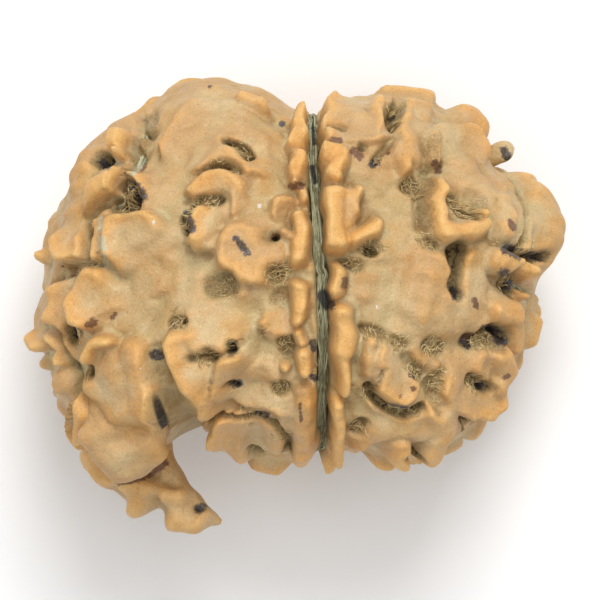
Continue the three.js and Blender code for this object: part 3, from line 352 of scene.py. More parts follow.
# Each row of the flap's toe, of the nub at the rim and of the trunk is a point of its path, its
# half-width and its half-thickness.
TOE = [
    [-8.9, -4.6, 3.4, 1.6, 0.9], [-8.75, -6.4, 4.1, 1.95, 1.15], [-8.65, -7.9, 3.9, 2.05, 1.2],
    [-8.35, -8.75, 3.5, 1.8, 1.1], [-8.0, -9.3, 3.2, 1.35, 0.85], [-7.8, -9.6, 3.0, 0.5, 0.4],
]
NUB = [
    [8.6, 5.6, -1.5, 0.6, 0.6], [9.6, 6.15, -0.8, 0.42, 0.42], [10.25, 6.45, -0.4, 0.48, 0.45],
    [10.6, 6.6, -0.3, 0.36, 0.36], [10.75, 6.65, -0.3, 0.08, 0.08],
]
TRUNK = [
    [-9.2, -5.5, -2.8, 1.4, 1.6], [-8.7, -7.6, -2.6, 2.0, 1.8], [-8.1, -9.1, -2.2, 1.95, 1.6],
    [-6.95, -10.4, -1.6, 1.3, 1.2], [-5.55, -11.45, -1.2, 0.82, 0.9], [-4.55, -12.0, -1.1, 0.5, 0.5],
    [-3.95, -12.15, -1.1, 0.1, 0.1],
]
# Each row is a height, a half-width and a point. A height below nothing is a dent.
TOE_LUMPS = [
    [0.4, 0.6, [-10.6, -7.8, 4.0]],
    [0.35, 0.6, [-6.75, -8.9, 3.6]],
    [0.2, 0.5, [-9.7, -7.5, 4.9]],
    [0.2, 0.6, [-7.5, -8.3, 4.9]],
    [-0.2, 0.4, [-8.7, -8.0, 5.0]],
    [-0.15, 0.4, [-8.0, -7.3, 5.1]],
]
TRUNK_LUMPS = [
    [0.75, 0.9, [-10.2, -8.9, -1.0]],
    [0.55, 0.6, [-9.6, -9.9, -1.2]],
    [0.85, 0.55, [-7.95, -11.2, -1.6]],
    [0.5, 0.6, [-8.5, -10.2, -0.6]],
    [0.55, 0.45, [-8.3, -10.1, 0.0]],
    [0.65, 0.42, [-7.5, -10.45, 0.0]],
    [0.6, 0.4, [-6.75, -10.75, 0.0]],
    [0.5, 0.4, [-6.0, -10.95, 0.0]],
    [-0.5, 0.42, [-7.4, -9.7, 0.0]],
    [-0.4, 0.35, [-6.4, -10.2, 0.0]],
    [-0.35, 0.35, [-7.3, -11.1, -0.3]],
    [0.6, 0.55, [-6.1, -12.05, -1.0]],
    [0.5, 0.5, [-5.2, -12.3, -0.9]],
    [0.3, 0.4, [-4.8, -11.9, -0.5]],
    [-0.55, 0.28, [-5.05, -11.45, -0.4]],
    [-0.5, 0.35, [-9.1, -10.6, -1.0]],
    [-0.5, 0.35, [-7.1, -11.6, -1.0]],
    [-0.45, 0.32, [-9.6, -9.3, -0.4]],
]
print("knobs and ridges:", len(KNOBS_LEFT) + len(KNOBS_RIGHT) + len(FLAP))
print("pits:", len(PITS_LEFT) + len(PITS_RIGHT) + len(HOLLOW))

# %% [markdown]
# ## From a point in the picture to a place on the body
# A knob stands out sideways near the rim, so its foot is further in than its crest is seen. The seat
# of a point is found by a few rounds of correction. Long crests are then drawn as smooth curves of
# short strokes, and the front's faces are turned round the stem axis to cover the hidden side.

# %% Seats and strokes
KNOB_GAIN = 1.25
CREST_LEVEL = 0.1
PIT_LEVEL = 0.0
FURROW_LEVEL = -0.5
SEAT_ROUNDS = 8
RIM_LIMIT = 0.995
CURVE_PARTS = 3
HIDDEN_FACES = [("both", 104, -1), ("both", 208, 1), ("left", -52, -1)]
HIDDEN_FURROWS = [107, 157, 207, 258]
FURROW_SHARES = [1, 0.55, 0.7, 1, 1, 1, 1]
HIDDEN_LIMIT = -0.12
HIDDEN_RISE = (0.4, 1.8)
HIDDEN_POLE = 0.88
FURROW_STEP = 12
FURROW_END = 84
FURROW_WAVE = 0.05


def seat(point, level):
    """The direction whose relief, at a level above the body, is seen from the front at x, y."""
    x, y = point[:2]
    rim = float(rim_radius(x, y)[0])
    if len(point) == 3:
        return unit(np.array([x / (rim + level), y / (rim + level), point[2] / (HALF_DEPTH + level)]))
    radius = np.hypot(x, y)
    out = radius / rim
    for _ in range(SEAT_ROUNDS):
        out = np.clip(out, 0, RIM_LIMIT)
        direction = np.array([out * x / radius, out * y / radius, np.sqrt(1 - out**2)])
        push = outward(direction[None])[0]
        out = (radius - level * np.hypot(push[0], push[1])) / rim
    return direction


def strokes(rows, crest):
    """Each row becomes strokes (size, half-width, start, end, slope, hand) along a smooth curve. Slope
    is the length of the ramp on the hand's side, which is the half-width again where both are steep."""
    made = []
    for size, width, *points in rows:
        slope = width if isinstance(points[0], list) else points.pop(0)
        level = KNOB_GAIN * size + CREST_LEVEL if crest else PIT_LEVEL
        seats = np.array([seat(point, level) for point in points])
        if len(seats) > 2:
            seats = unit(along(seats, np.linspace(0, 1, CURVE_PARTS * (len(seats) - 1) + 1)))
        ends = seats[1:] if len(seats) > 1 else seats
        made += [(size, width, start, end, slope, 1) for start, end in zip(seats, ends)]
    return made


def turned(points, degrees, flip):
    """Directions turned about the stem axis, upside down where flip is -1."""
    cos, sin = np.cos(np.radians(degrees)), np.sin(np.radians(degrees))
    return points @ np.array([[cos, 0, sin], [0, flip, 0], [-sin, 0, cos]]).T


def hidden_strokes(left, right):
    """The front's strokes turned to the hidden side, away from the rim and from the stem axis, and
    lower where they are near the rim."""
    made = []
    for faces, degrees, flip in HIDDEN_FACES:
        for size, width, start, end, slope, hand in left + (right if faces == "both" else []):
            ends = turned(np.array([start, end]), degrees, flip)
            if ends[:, 2].max() < HIDDEN_LIMIT and np.abs(ends[:, 1]).max() < HIDDEN_POLE:
                share = min(HIDDEN_RISE[0] - HIDDEN_RISE[1] * (ends[:, 2].max() - HIDDEN_LIMIT), 1)
                made.append((size * share, width, ends[0], ends[1], slope, hand * flip))
    return made


def furrow_lines():
    """The furrows as rows of directions: three from the front, the rest evenly round the back."""
    lines = [np.array([seat(point, FURROW_LEVEL) for point in line])
             for line in (GROOVE, LEFT_FURROW, RIGHT_FURROW)]
    up = np.radians(np.arange(-FURROW_END, FURROW_END + 1, FURROW_STEP))
    for longitude in HIDDEN_FURROWS:
        around = np.radians(longitude) + FURROW_WAVE * np.sin(3 * up + np.radians(longitude))
        lines.append(np.stack([np.sin(around) * np.cos(up), np.sin(up), np.cos(around) * np.cos(up)], -1))
    return lines


left_knobs, right_knobs = strokes(KNOBS_LEFT + RAMPS_LEFT, True), strokes(KNOBS_RIGHT + RAMPS_RIGHT, True)
left_pits, right_pits = strokes(PITS_LEFT, False), strokes(PITS_RIGHT, False)
ridge_strokes = left_knobs + right_knobs + strokes(FLAP, True) + hidden_strokes(left_knobs, right_knobs)
pit_strokes = left_pits + right_pits + hidden_strokes(left_pits, right_pits)
hollow_strokes = strokes(HOLLOW, False)
furrows = furrow_lines()
furrow_strokes = [(share, start, end) for line, share in zip(furrows, FURROW_SHARES)
                  for start, end in zip(line[:-1], line[1:])]
print("strokes of ridges, pits, furrows:", len(ridge_strokes), len(pit_strokes), len(furrow_strokes))

# %% [markdown]
# ## The height of the relief
# Knobs that meet melt into one another. A plain maximum would leave sharp creases, so the heights are
# joined by a soft maximum, a logarithm of a sum of exponentials. Pits and furrows are cut in after it.

# %% Height over the body
CREST_SHARPNESS = 3.6
RAMP_SHARPNESS = 1.3
RAMP_TURN = 0.7
BLEND = 0.06
MOUND_HEIGHT = 0.3
MOUND_WIDTH = 1.3
MOUND_FILL = 0.9
REACH = 4.0
PIT_WIDTH = 1.05
PIT_SHARPNESS = 3.4
FURROW_WIDTH = 0.3
FURROW_DEPTH = 0.6
FURROW_SHARPNESS = 5.0
FURROW_FADE = 0.9
SWELL_HEIGHT, SWELL_WAVELENGTH = 0.12, 3.2
ROUGH_HEIGHT, ROUGH_WAVELENGTH = 0.05, 1.1
WANDER_HEIGHT, WANDER_WAVELENGTH = 0.09, 1.7
POLE_DIMPLES = [(1.2, 0.9, (0.0, 1.0, -0.25)), (0.7, 0.8, (0.0, -1.0, -0.25))]
REST_BUMP_HEIGHT, REST_BUMP_WIDTH = 1.6, 3.2
REST_BUMP_PLACE = (0.0, 0.3, -HALF_DEPTH)
WAVES = 12


def swell(points, wavelength):
    """A sum of sine waves, mostly between -1 and 1. Their directions wind evenly round a ball, and
    each wave has its own length, near the wavelength, and its own start."""
    index = np.arange(WAVES)
    level = 1 - (2 * index + 1) / WAVES
    flat = np.sqrt(1 - level**2)
    turn = np.pi * (3 - np.sqrt(5)) * index * 5
    pitch = 2 * np.pi / wavelength * (0.7 + 0.7 * ((index * 0.618) % 1))
    waves = np.stack([flat * np.cos(turn), flat * np.sin(turn), level], -1) * pitch[:, None]
    return np.sin(points @ waves.T + 1.7 * index**2).sum(-1) / np.sqrt(WAVES)


def wander(points):
    """Points moved a little aside by three swells, so that outlines aren't regular."""
    shift = [swell(points + [7 * axis, 3 * axis, 5], WANDER_WAVELENGTH) for axis in (1, 2, 3)]
    return points + WANDER_HEIGHT * np.stack(shift, -1)


def distance_to(points, start, end):
    """How far points are from the straight line between the feet of a stroke."""
    return np.linalg.norm(aside(points, start, end), axis=1)


def aside(points, start, end):
    """The way from the nearest point of the line between a stroke's feet to each point."""
    foot, far = body_point(np.array([start, end]))
    run = far - foot
    share = np.clip((points - foot) @ run / max(run @ run, 1e-9), 0, 1)
    return points - foot - share[:, None] * run


def close_to(points, start, end):
    """Which points a stroke can reach."""
    middle = body_point(np.array([start, end])).mean(0)
    return np.flatnonzero(((points - middle) ** 2).sum(1) < REACH**2)


def knob_share(points, width, start, end, slope, hand):
    """How much of a knob's height points have: a flat crest with steep sides. On the hand's side of
    a ramp the width grows to the slope's length and the fall becomes an even one."""
    way = aside(points, start, end)
    distance = np.linalg.norm(way, axis=1)
    if slope == width:
        return np.exp(-(distance / width) ** CREST_SHARPNESS)
    side = hand * unit(np.cross(end - start, outward((start + end)[None])[0]))
    turn = np.clip(way @ side / np.maximum(distance, 1e-9), 0, 1) ** RAMP_TURN
    return np.exp(-(distance / (width + (slope - width) * turn))
                  ** (CREST_SHARPNESS + (RAMP_SHARPNESS - CREST_SHARPNESS) * turn))


def relief(true_points):
    """Height over the body at points on it: the soft maximum of the knobs on their mounds and on
    slow swells, less the deepest pit, then drawn down along the furrows. Also how deep the pit, the
    furrow and the hollow are at each point."""
    points = wander(true_points)
    piled, mound, dug, hollow, furrow = np.zeros((5, len(points)))
    for size, width, start, end, *ramp in ridge_strokes:
        near = close_to(points, start, end)
        knob = KNOB_GAIN * size * knob_share(points[near], width, start, end, *ramp)
        piled[near] += np.expm1(knob / BLEND)
        mound[near] += size * width * np.exp(-(distance_to(points[near], start, end) / MOUND_WIDTH) ** 2)
    for sunk, listed in ((dug, pit_strokes), (hollow, hollow_strokes)):
        for size, width, start, end, *_ in listed:
            near = close_to(points, start, end)
            distance = distance_to(points[near], start, end) / (width * PIT_WIDTH)
            sunk[near] = np.maximum(sunk[near], size * np.exp(-distance**PIT_SHARPNESS))
    for share, start, end in furrow_strokes:
        near = close_to(points, start, end)
        distance = distance_to(points[near], start, end) / FURROW_WIDTH
        furrow[near] = np.maximum(furrow[near], share * np.exp(-distance**FURROW_SHARPNESS))
    height = SWELL_HEIGHT * swell(points, SWELL_WAVELENGTH) + ROUGH_HEIGHT * swell(points, ROUGH_WAVELENGTH)
    height = height + MOUND_HEIGHT * (1 - np.exp(-mound / MOUND_FILL)) + BLEND * np.log1p(piled)
    height = height - np.maximum(dug, hollow)
    height = height * (1 - FURROW_FADE * furrow) - FURROW_DEPTH * furrow
    for depth, width, place in POLE_DIMPLES:
        pole = body_point(np.array([place]))
        height = height - depth * np.exp(-(np.linalg.norm(true_points - pole, axis=1) / width) ** 4)
    rest = np.linalg.norm(true_points - REST_BUMP_PLACE, axis=1) / REST_BUMP_WIDTH
    return np.maximum(height, REST_BUMP_HEIGHT * (1 - rest**4)), dug, furrow, hollow


def surface_point(directions, lift=0.0):
    """Where the skin is in each direction, lifted off it by so much."""
    foot = body_point(directions)
    return foot + outward(directions) * (relief(foot)[0] + lift)[:, None]


print("height at the front's middle:", relief(body_point(np.array([[0.0, 0.0, 1.0]])))[0])

# %% [markdown]
# ## The skin's grid
# A sphere of latitudes and longitudes has pinched poles. A cube's six grids blown up round have
# none, and their squares are nearly even. The grid is a little finer on the front, which is seen.
# What rises over its surroundings is raised a little more, so that edges are as crisp as the real
# ones, and the steep walls of the deep hollow are evened out, because the squares stretch there.

# %% The skin as one closed surface
STEPS = 118
FRONT_BIAS = 0.2
NEAR_ROUNDS, NEAR_PULL = 24, 0.8
CARVE, CARVE_FADE = 0.7, 0.35
SKIN_PULL = 0.3
CALM_ROUNDS, CALM_DEPTH, CALM_PULL = 16, 0.5, 0.7
HOLLOW_PULL = 0.8


def round_grid(steps):
    """Directions and squares of a cube's grid: equal angles along its edges, shared edges merged."""
    line = np.tan(np.linspace(-np.pi / 4, np.pi / 4, steps + 1))
    u, v = np.meshgrid(line, line, indexing="ij")
    one = np.ones_like(u)
    sides = [(one, u, v), (-one, -u, v), (-u, one, v), (u, -one, v), (u, v, one), (-u, v, -one)]
    directions = unit(np.concatenate([np.stack(side, -1).reshape(-1, 3) for side in sides]))
    row, column = np.meshgrid(np.arange(steps), np.arange(steps), indexing="ij")
    corner = (row * (steps + 1) + column).ravel()
    square = np.stack([corner, corner + steps + 1, corner + steps + 2, corner + 1], -1)
    squares = np.concatenate([square + side * (steps + 1) ** 2 for side in range(6)])
    keys = np.round(directions * 1e6).astype(np.int64)
    _, first, same = np.unique(keys, axis=0, return_index=True, return_inverse=True)
    return directions[first], same.ravel()[squares]


def evened(values, squares, rounds, pull):
    """Each value drawn by the share pull towards the mean of its neighbours along the grid's edges,
    so many rounds over."""
    here = squares.ravel()
    next_one = np.roll(squares, 1, axis=1).ravel()
    count = np.bincount(here, minlength=len(values)) + np.bincount(next_one, minlength=len(values))
    values = values.reshape(len(values), -1)
    for _ in range(rounds):
        total = np.stack([np.bincount(here, column[next_one], len(values))
                          + np.bincount(next_one, column[here], len(values)) for column in values.T], -1)
        values = (1 - pull) * values + pull * total / count[:, None]
    return values


grid, squares = round_grid(STEPS)
grid = unit(grid + [0, 0, FRONT_BIAS])
feet = body_point(grid)
height, pit_depth, furrow_depth, hollow_depth = relief(feet)
near_rise = height - evened(height, squares, NEAR_ROUNDS, NEAR_PULL)[:, 0]
carved = height + CARVE * near_rise * np.clip(grid[:, 2] / CARVE_FADE, 0, 1)
skin = evened(feet + outward(grid) * carved[:, None], squares, 1, SKIN_PULL)
calm = evened(skin, squares, CALM_ROUNDS, CALM_PULL)
hollow_share = np.clip(hollow_depth / CALM_DEPTH, 0, 1)
skin += (calm - skin) * hollow_share[:, None]
hollow_depth = evened(hollow_depth, squares, CALM_ROUNDS, HOLLOW_PULL)[:, 0]
skin[:, 2] = np.maximum(skin[:, 2], -REST_DEPTH)
print("skin:", len(skin), "points,", len(squares), "squares; box", skin.min(0).round(2), skin.max(0).round(2))

# %% [markdown]
# ## Facts for the finish
# The worn crests of the real seed are orange and its hollows olive; over that the shader paints shade below
# the crests and in the deep pits, and a highlight on the crest tops. A shader can't know what is high, so
# each point is told: its rise over the ground round it, at two scales, and how deep its pit is.

# %% Rise over the surroundings
WIDE_ROUNDS, WIDE_PULL = 160, 0.9
wide_rise = height - evened(height, squares, WIDE_ROUNDS, WIDE_PULL)[:, 0]
print("rise, lowest and highest:", near_rise.min().round(2), near_rise.max().round(2))

# %% [markdown]
# ## Stains and specks
# Dark blue, red-brown, grey and white specks lie here and there on the real seed. Each is a small
# streak with a soft edge, written down by its half-width and ends, and the shader frays its outline.
# In the deep hollow, whose squares are long, the blue is evened out, or it would look like a comb.

# %% Stains
STREAK_PARTS = 5
STAIN_TOP, STAIN_FALL = 1.3, 0.7
SOAK_ROUNDS, SOAK_PULL, SOAK_GAIN = 5, 0.8, 1.7
BLUE_STAINS = [
    [0.32, [1.15, -0.8], [1.4, -1.2]], [0.19, [-3.15, 2.05], [-2.65, 1.35]],
    [0.2, [-3.35, -3.15], [-3.3, -3.4]], [0.25, [-5.6, 3.2], [-5.4, 2.6]], [0.2, [3.6, 5.75], [3.8, 5.9]],
    [0.18, [0.65, -3.1], [0.7, -3.4]], [0.15, [0.6, -4.8], [0.8, -4.9]], [0.2, [10.25, 6.5], [10.4, 6.15]],
    [0.16, [-0.9, 7.8]], [0.2, [8.2, -3.0], [8.35, -3.3]], [0.22, [9.2, -2.45], [9.6, -2.55]],
    [0.22, [9.9, -3.0], [10.2, -3.05]],
    [0.2, [-7.3, -3.7], [-7.0, -3.8]], [0.18, [-9.9, 5.9], [-9.6, 5.7]], [0.3, [-8.2, 4.6], [-7.9, 4.2]],
    [0.18, [8.6, -5.2], [9.0, -5.3]], [0.3, [10.3, 1.5], [10.9, 1.3]], [0.2, [11.6, 1.3], [12.0, 1.1]],
    [0.2, [-3.25, -5.15], [-3.05, -5.15]], [0.12, [-2.1, -6.6], [-1.6, -6.7]],
    [0.14, [0.6, 5.6], [0.75, 4.9]],
    [0.1, [0.65, 7.6], [0.7, 6.8]], [0.2, [-4.9, -11.4], [-5.1, -11.5]],
    [0.3, [10.2, 0.3], [10.3, -0.2]], [0.2, [5.6, -4.7], [5.8, -4.8]], [0.1, [-4.5, 9.65]],
    [0.2, [7.6, -0.5], [7.7, -0.8]], [0.2, [-11.1, -2.6]], [0.14, [4.4, -6.25], [5.3, -6.4]],
]
RED_STAINS = [
    [0.2, [2.65, 6.4], [3.0, 6.15]], [0.16, [10.5, 2.9], [10.65, 2.6]], [0.2, [-10.55, -2.2], [-10.3, -2.1]],
    [0.14, [5.65, -5.4]], [0.12, [-9.4, -1.9], [-9.2, -1.7]], [0.2, [-8.1, 5.5], [-7.8, 5.75]],
    [0.2, [6.75, 5.8], [6.9, 5.5]], [0.12, [10.2, -4.9], [10.4, -4.8]], [0.14, [8.8, -1.3], [8.7, -1.0]],
    [0.12, [5.0, -5.8]], [0.16, [8.15, -2.85], [8.6, -2.8]], [0.12, [4.4, 6.3]],
    [0.16, [2.25, 0.0], [2.2, -0.3]],
    [0.2, [-0.4, 4.65], [0.0, 4.68]], [0.1, [0.05, -7.0], [0.0, -6.2]], [0.14, [1.6, 7.0], [2.0, 6.95]],
]
GREY_STAINS = [
    [0.12, [-9.95, 3.1], [-9.95, 2.5]], [0.2, [-9.85, 2.0], [-9.8, 1.6]], [0.12, [-9.75, 1.2], [-9.65, 0.6]],
    [0.3, [-4.3, -12.0], [-3.9, -12.2]], [0.16, [-8.3, 5.3], [-8.0, 5.7]],
]
# A painted shadow, not a stain: brown streaks on the trunk just under the toe's lower edge.
TOE_SHADOW_STREAKS = [[0.13, [-9.6, -9.75], [-9.07, -10.2]], [0.15, [-9.07, -10.2], [-8.2, -10.05]],
                 [0.18, [-8.2, -10.05], [-7.5, -9.7]], [0.2, [-7.5, -9.7], [-6.8, -9.2]]]
WHITE_STAINS = [[0.07, [-7.3, 2.9], [-7.3, 2.75]], [0.06, [-7.9, -4.2], [-7.9, -4.4]], [0.1, [-2.0, 3.7]],
                [0.08, [3.85, -1.35]]]


# Also used for the painted shadow under the toe.
def stained(points, stains):
    """How strongly the nearest stain shows at points, by their distance in the picture from its
    streak, on the side that faces the front."""
    shown = np.zeros(len(points))
    for radius, *streak in stains:
        run = np.linspace(0, 1, STREAK_PARTS)[:, None]
        streak = np.array(streak)
        for x, y in streak[0] * (1 - run) + streak[-1] * run:
            far = np.hypot(points[:, 0] - x, points[:, 1] - y) / radius
            strength = np.clip(STAIN_TOP - STAIN_FALL * far, 0, 1)
            shown = np.maximum(shown, np.where(points[:, 2] > 0, strength, 0))
    return shown


stains = {"blue": stained(skin, BLUE_STAINS), "red": stained(skin, RED_STAINS),
          "grey": stained(skin, GREY_STAINS), "white": stained(skin, WHITE_STAINS)}
spread_blue = evened(stains["blue"], squares, SOAK_ROUNDS, SOAK_PULL)[:, 0]
soaked = np.clip(SOAK_GAIN * spread_blue, 0, 1)
stains["blue"] += (soaked - stains["blue"]) * hollow_share
print("points with a stain:", {name: int((amount > 0.5).sum()) for name, amount in stains.items()})

# %% [markdown]
# ## The flap's toe, the nub and the trunk
# A flap hangs over the lower left of the body, a short trunk curves away behind it, and a nub sticks
# out at the upper right rim. Each could be carved from a block, but a path is easier to follow: an
# oval is carried along it, its size read from the same rows as the path. The skin swells, and lumps
# push it out along each oval's rays.

# %% Limbs as tubes along a path
LIMB_ROWS = 64
LIMB_SIDES = 48
LIMB_SQUARENESS = 0.85
LIMB_SWELL_HEIGHT, LIMB_SWELL_WAVELENGTH = 0.07, 1.6
LUMP_LENGTHENING = 0.35
TIP_TAPER = 0.12
PATH_NUDGE = 0.01


def limb_relief(points, lumps):
    """A swell, and a bump with a flat top at each listed lump."""
    height = LIMB_SWELL_HEIGHT * swell(points, LIMB_SWELL_WAVELENGTH)
    for size, width, place in lumps:
        apart = (points - place) * [1, 1, LUMP_LENGTHENING]
        height = height + size * np.exp(-(np.linalg.norm(apart, axis=-1) / width) ** 3)
    return height


def tube_faces(rows, sides):
    """The squares of a tube of rings, each ring joined to the next."""
    row, side = np.meshgrid(np.arange(rows), np.arange(sides), indexing="ij")
    here = (row * sides + side).ravel()
    beside = (row * sides + (side + 1) % sides).ravel()
    return np.stack([here, here + sides, beside + sides, beside], -1)


def squarer(values):
    """A circle's cosines and sines drawn towards its corners."""
    return np.sign(values) * np.abs(values) ** LIMB_SQUARENESS


def make_limb(way, lumps, rows=LIMB_ROWS, sides=LIMB_SIDES):
    """Ovals along the way, closed at both ends by a fan of triangles."""
    t = np.linspace(0, 1, rows + 1)
    path = along(way, t)
    ahead = along(way, np.minimum(t + PATH_NUDGE, 1)) - along(way, np.maximum(t - PATH_NUDGE, 0))
    ahead = unit(ahead[:, :3])
    side = unit(np.cross(ahead, [0, 0, 1]))
    up = np.cross(side, ahead)
    turn = np.linspace(0, 2 * np.pi, sides, endpoint=False)[None, :, None]
    across, over = side[:, None] * squarer(np.cos(turn)), up[:, None] * squarer(np.sin(turn))
    rings = path[:, None, :3] + across * path[:, 3, None, None] + over * path[:, 4, None, None]
    taper = np.minimum((1 - t) / TIP_TAPER, 1)[:, None, None]
    rise = limb_relief(rings, lumps)[..., None] * taper
    rings = rings + (across + over) * rise
    points = np.vstack([rings.reshape(-1, 3), path[:1, :3], path[-1:, :3]])
    first = np.arange(sides)
    second = (first + 1) % sides
    root, tip = (rows + 1) * sides, (rows + 1) * sides + 1
    root_fan = np.stack([np.full(sides, root), first, second], -1)
    tip_fan = np.stack([np.full(sides, tip), rows * sides + second, rows * sides + first], -1)
    faces = tube_faces(rows, sides).tolist() + root_fan.tolist() + tip_fan.tolist()
    return points, faces, np.append(rise.ravel(), [0, 0])


limbs = {"toe": make_limb(TOE, TOE_LUMPS), "nub": make_limb(NUB, []), "trunk": make_limb(TRUNK, TRUNK_LUMPS)}
for part, (points, _, _) in limbs.items():
    print(part, len(points), "points; box", points.min(0).round(2), points.max(0).round(2))

# %% [markdown]
# ## Into Blender
# from_pydata takes points and faces as they are. The limbs grew out of the body, so they are joined
# to it by a Boolean, whose Manifold solver is quick on closed surfaces and keeps each point's facts.

# %% Meshes with facts on their points
STONE_FACTS = ("near_rise", "wide_rise", "pit", "hollow", "furrow", "blue", "red", "grey", "white")
LIMB_NEAR_SHARE, LIMB_NEAR_LEVEL, LIMB_WIDE_SHARE = 0.5, 0.02, 0.6


def add_mesh(name, points, faces, facts):
    """A smooth mesh object in the row frame, with a float on each point for every fact."""
    mesh = bpy.data.meshes.new(name)
    mesh.from_pydata(to_frame(points).tolist(), [], faces)
    for fact, values in facts.items():
        mesh.attributes.new(fact, "FLOAT", "POINT").data.foreach_set("value", np.asarray(values, np.float32))
    mesh.shade_smooth()
    made = bpy.data.objects.new(name, mesh)
    bpy.context.scene.collection.objects.link(made)
    return made


skin_facts = dict(zip(STONE_FACTS, (near_rise, wide_rise, pit_depth, hollow_depth, furrow_depth,
                                    *stains.values())))
seed = add_mesh("rudraksha_seed_stone", skin, squares.tolist(), skin_facts)
for part, (points, faces, rise) in limbs.items():
    limb_facts = {fact: np.zeros(len(points)) for fact in STONE_FACTS}
    limb_facts["near_rise"] = rise * LIMB_NEAR_SHARE + LIMB_NEAR_LEVEL
    limb_facts["wide_rise"] = rise * LIMB_WIDE_SHARE
    limb_facts["blue"] = stained(points + [0, 0, HALF_DEPTH], BLUE_STAINS)
    # On the trunk the red fact carries the painted shadow under the toe.
    limb_facts["red"] = stained(points + [0, 0, HALF_DEPTH], TOE_SHADOW_STREAKS if part == "trunk" else [])
    limb = add_mesh(part + "_to_join", points, faces, limb_facts)
    union = seed.modifiers.new("limb", "BOOLEAN")
    union.operation = "UNION"
    union.solver = "MANIFOLD"
    union.object = limb
    shown = seed.evaluated_get(bpy.context.evaluated_depsgraph_get())
    whole = bpy.data.meshes.new_from_object(shown)
    seed.modifiers.clear()
    seed.data = whole
    bpy.data.objects.remove(limb)
seed.data.shade_smooth()
print("stone:", len(seed.data.vertices), "points,", [a.name for a in seed.data.attributes])

# %% [markdown]
# ## The stone's finish
# The real stone is woody and satin: tan ground with sandy grain, crests rubbed to orange, and olive hollows.
# Over that the shader paints light and shade: paler crest tops as a highlight, brown shade below the crests
# and along the furrow floors, and dark shade in the deep pits. It mixes these colours one after another, each
# by one fact of the surface, roughened by noise on Object coordinates so that no border is clean. The black
# gap beside the flap is painted shade finer than the grid, so the shader works it out as an oval on those
# coordinates.

# %% Helpers for shader nodes
def srgb(red, green, blue):
    """A colour given as it looks on a screen, 0 to 255, turned into light."""
    share = np.array([red, green, blue]) / 255
    light = np.where(share <= 0.04045, share / 12.92, ((share + 0.055) / 1.055) ** 2.4)
    return (*light.tolist(), 1.0)


class Finish:
    """A material and short ways to add its nodes."""

    def __init__(self, name):
        self.material = bpy.data.materials.new(name)
        self.material.use_nodes = True
        self.tree = self.material.node_tree
        self.shader = self.tree.nodes["Principled BSDF"]
        self.place = self.add("ShaderNodeTexCoord").outputs["Object"]

    def add(self, kind, **settings):
        """A new node with these settings."""
        node = self.tree.nodes.new(kind)
        for name, value in settings.items():
            setattr(node, name, value)
        return node

    def join(self, source, target):
        """A link from an output to an input."""
        self.tree.links.new(source, target)

    def fact(self, name):
        """The number that each point of the mesh carries under this name."""
        return self.add("ShaderNodeAttribute", attribute_name=name).outputs["Fac"]

    def noise(self, size, detail=3.0, roughness=0.55):
        """Noise whose lumps are about size millimetres across."""
        node = self.add("ShaderNodeTexNoise")
        self.join(self.place, node.inputs["Vector"])
        node.inputs["Scale"].default_value = 1 / (size * MILLIMETRE)
        node.inputs["Detail"].default_value = detail
        node.inputs["Roughness"].default_value = roughness
        return node.outputs["Fac"]

    def web(self, size):
        """How far the surface is from the threads of a crooked web of cells size millimetres wide."""
        bent = self.add("ShaderNodeVectorMath", operation="MULTIPLY_ADD")
        turbulence = self.add("ShaderNodeTexNoise")
        turbulence.inputs["Scale"].default_value = 1 / (size * MILLIMETRE)
        self.join(self.place, turbulence.inputs["Vector"])
        self.join(turbulence.outputs["Color"], bent.inputs[0])
        bent.inputs[1].default_value = (size * MILLIMETRE,) * 3
        self.join(self.place, bent.inputs[2])
        cells = self.add("ShaderNodeTexVoronoi", feature="DISTANCE_TO_EDGE")
        cells.inputs["Scale"].default_value = 1 / (size * MILLIMETRE)
        self.join(bent.outputs[0], cells.inputs["Vector"])
        return cells.outputs["Distance"]

    def oval(self, middle, along, half_width, half_length):
        """The square of the distance from a point of the picture, in half-widths and half-lengths."""
        offset = self.add("ShaderNodeVectorMath", operation="SUBTRACT")
        self.join(self.place, offset.inputs[0])
        offset.inputs[1].default_value = to_frame(np.array([[*middle, 0.0]]))[0].tolist()
        squares = []
        for direction, half in (((along[1], -along[0]), half_width), (along, half_length)):
            measure = self.add("ShaderNodeVectorMath", operation="DOT_PRODUCT")
            self.join(offset.outputs[0], measure.inputs[0])
            measure.inputs[1].default_value = (*(np.array(direction) / (half * MILLIMETRE)).tolist(), 0.0)
            squares.append(self.math(measure.outputs["Value"], 2.0, "POWER"))
        return self.math(*squares)

    def math(self, first, second, operation="ADD"):
        """One sum, product, difference or power of two values."""
        node = self.add("ShaderNodeMath", operation=operation)
        for socket, value in zip(node.inputs, (first, second)):
            if isinstance(value, bpy.types.NodeSocket):
                self.join(value, socket)
            else:
                socket.default_value = value
        return node.outputs[0]

    def step(self, value, low, high, to_low=0.0, to_high=1.0):
        """From to_low where value is low to to_high where it is high, smoothly."""
        node = self.add("ShaderNodeMapRange", interpolation_type="SMOOTHSTEP")
        self.join(value, node.inputs["Value"])
        for name, number in (("From Min", low), ("From Max", high), ("To Min", to_low), ("To Max", to_high)):
            node.inputs[name].default_value = number
        return node.outputs["Result"]

    def mix(self, amount, under, over, blend="MIX"):
        """Colour over laid on colour under by amount."""
        node = self.add("ShaderNodeMix", data_type="RGBA", blend_type=blend)
        for socket, value in ((node.inputs[0], amount), (node.inputs[6], under), (node.inputs[7], over)):
            if isinstance(value, bpy.types.NodeSocket):
                self.join(value, socket)
            else:
                socket.default_value = value
        return node.outputs[2]

    def bump(self, height, distance, strength=1.0, under=None):
        """Bump of so many millimetres, on top of another one."""
        node = self.add("ShaderNodeBump")
        self.join(height, node.inputs["Height"])
        node.inputs["Distance"].default_value = distance * MILLIMETRE
        node.inputs["Strength"].default_value = strength
        if under is not None:
            self.join(under, node.inputs["Normal"])
        return node.outputs["Normal"]


print("a tan in light:", [round(v, 3) for v in srgb(200, 165, 120)])

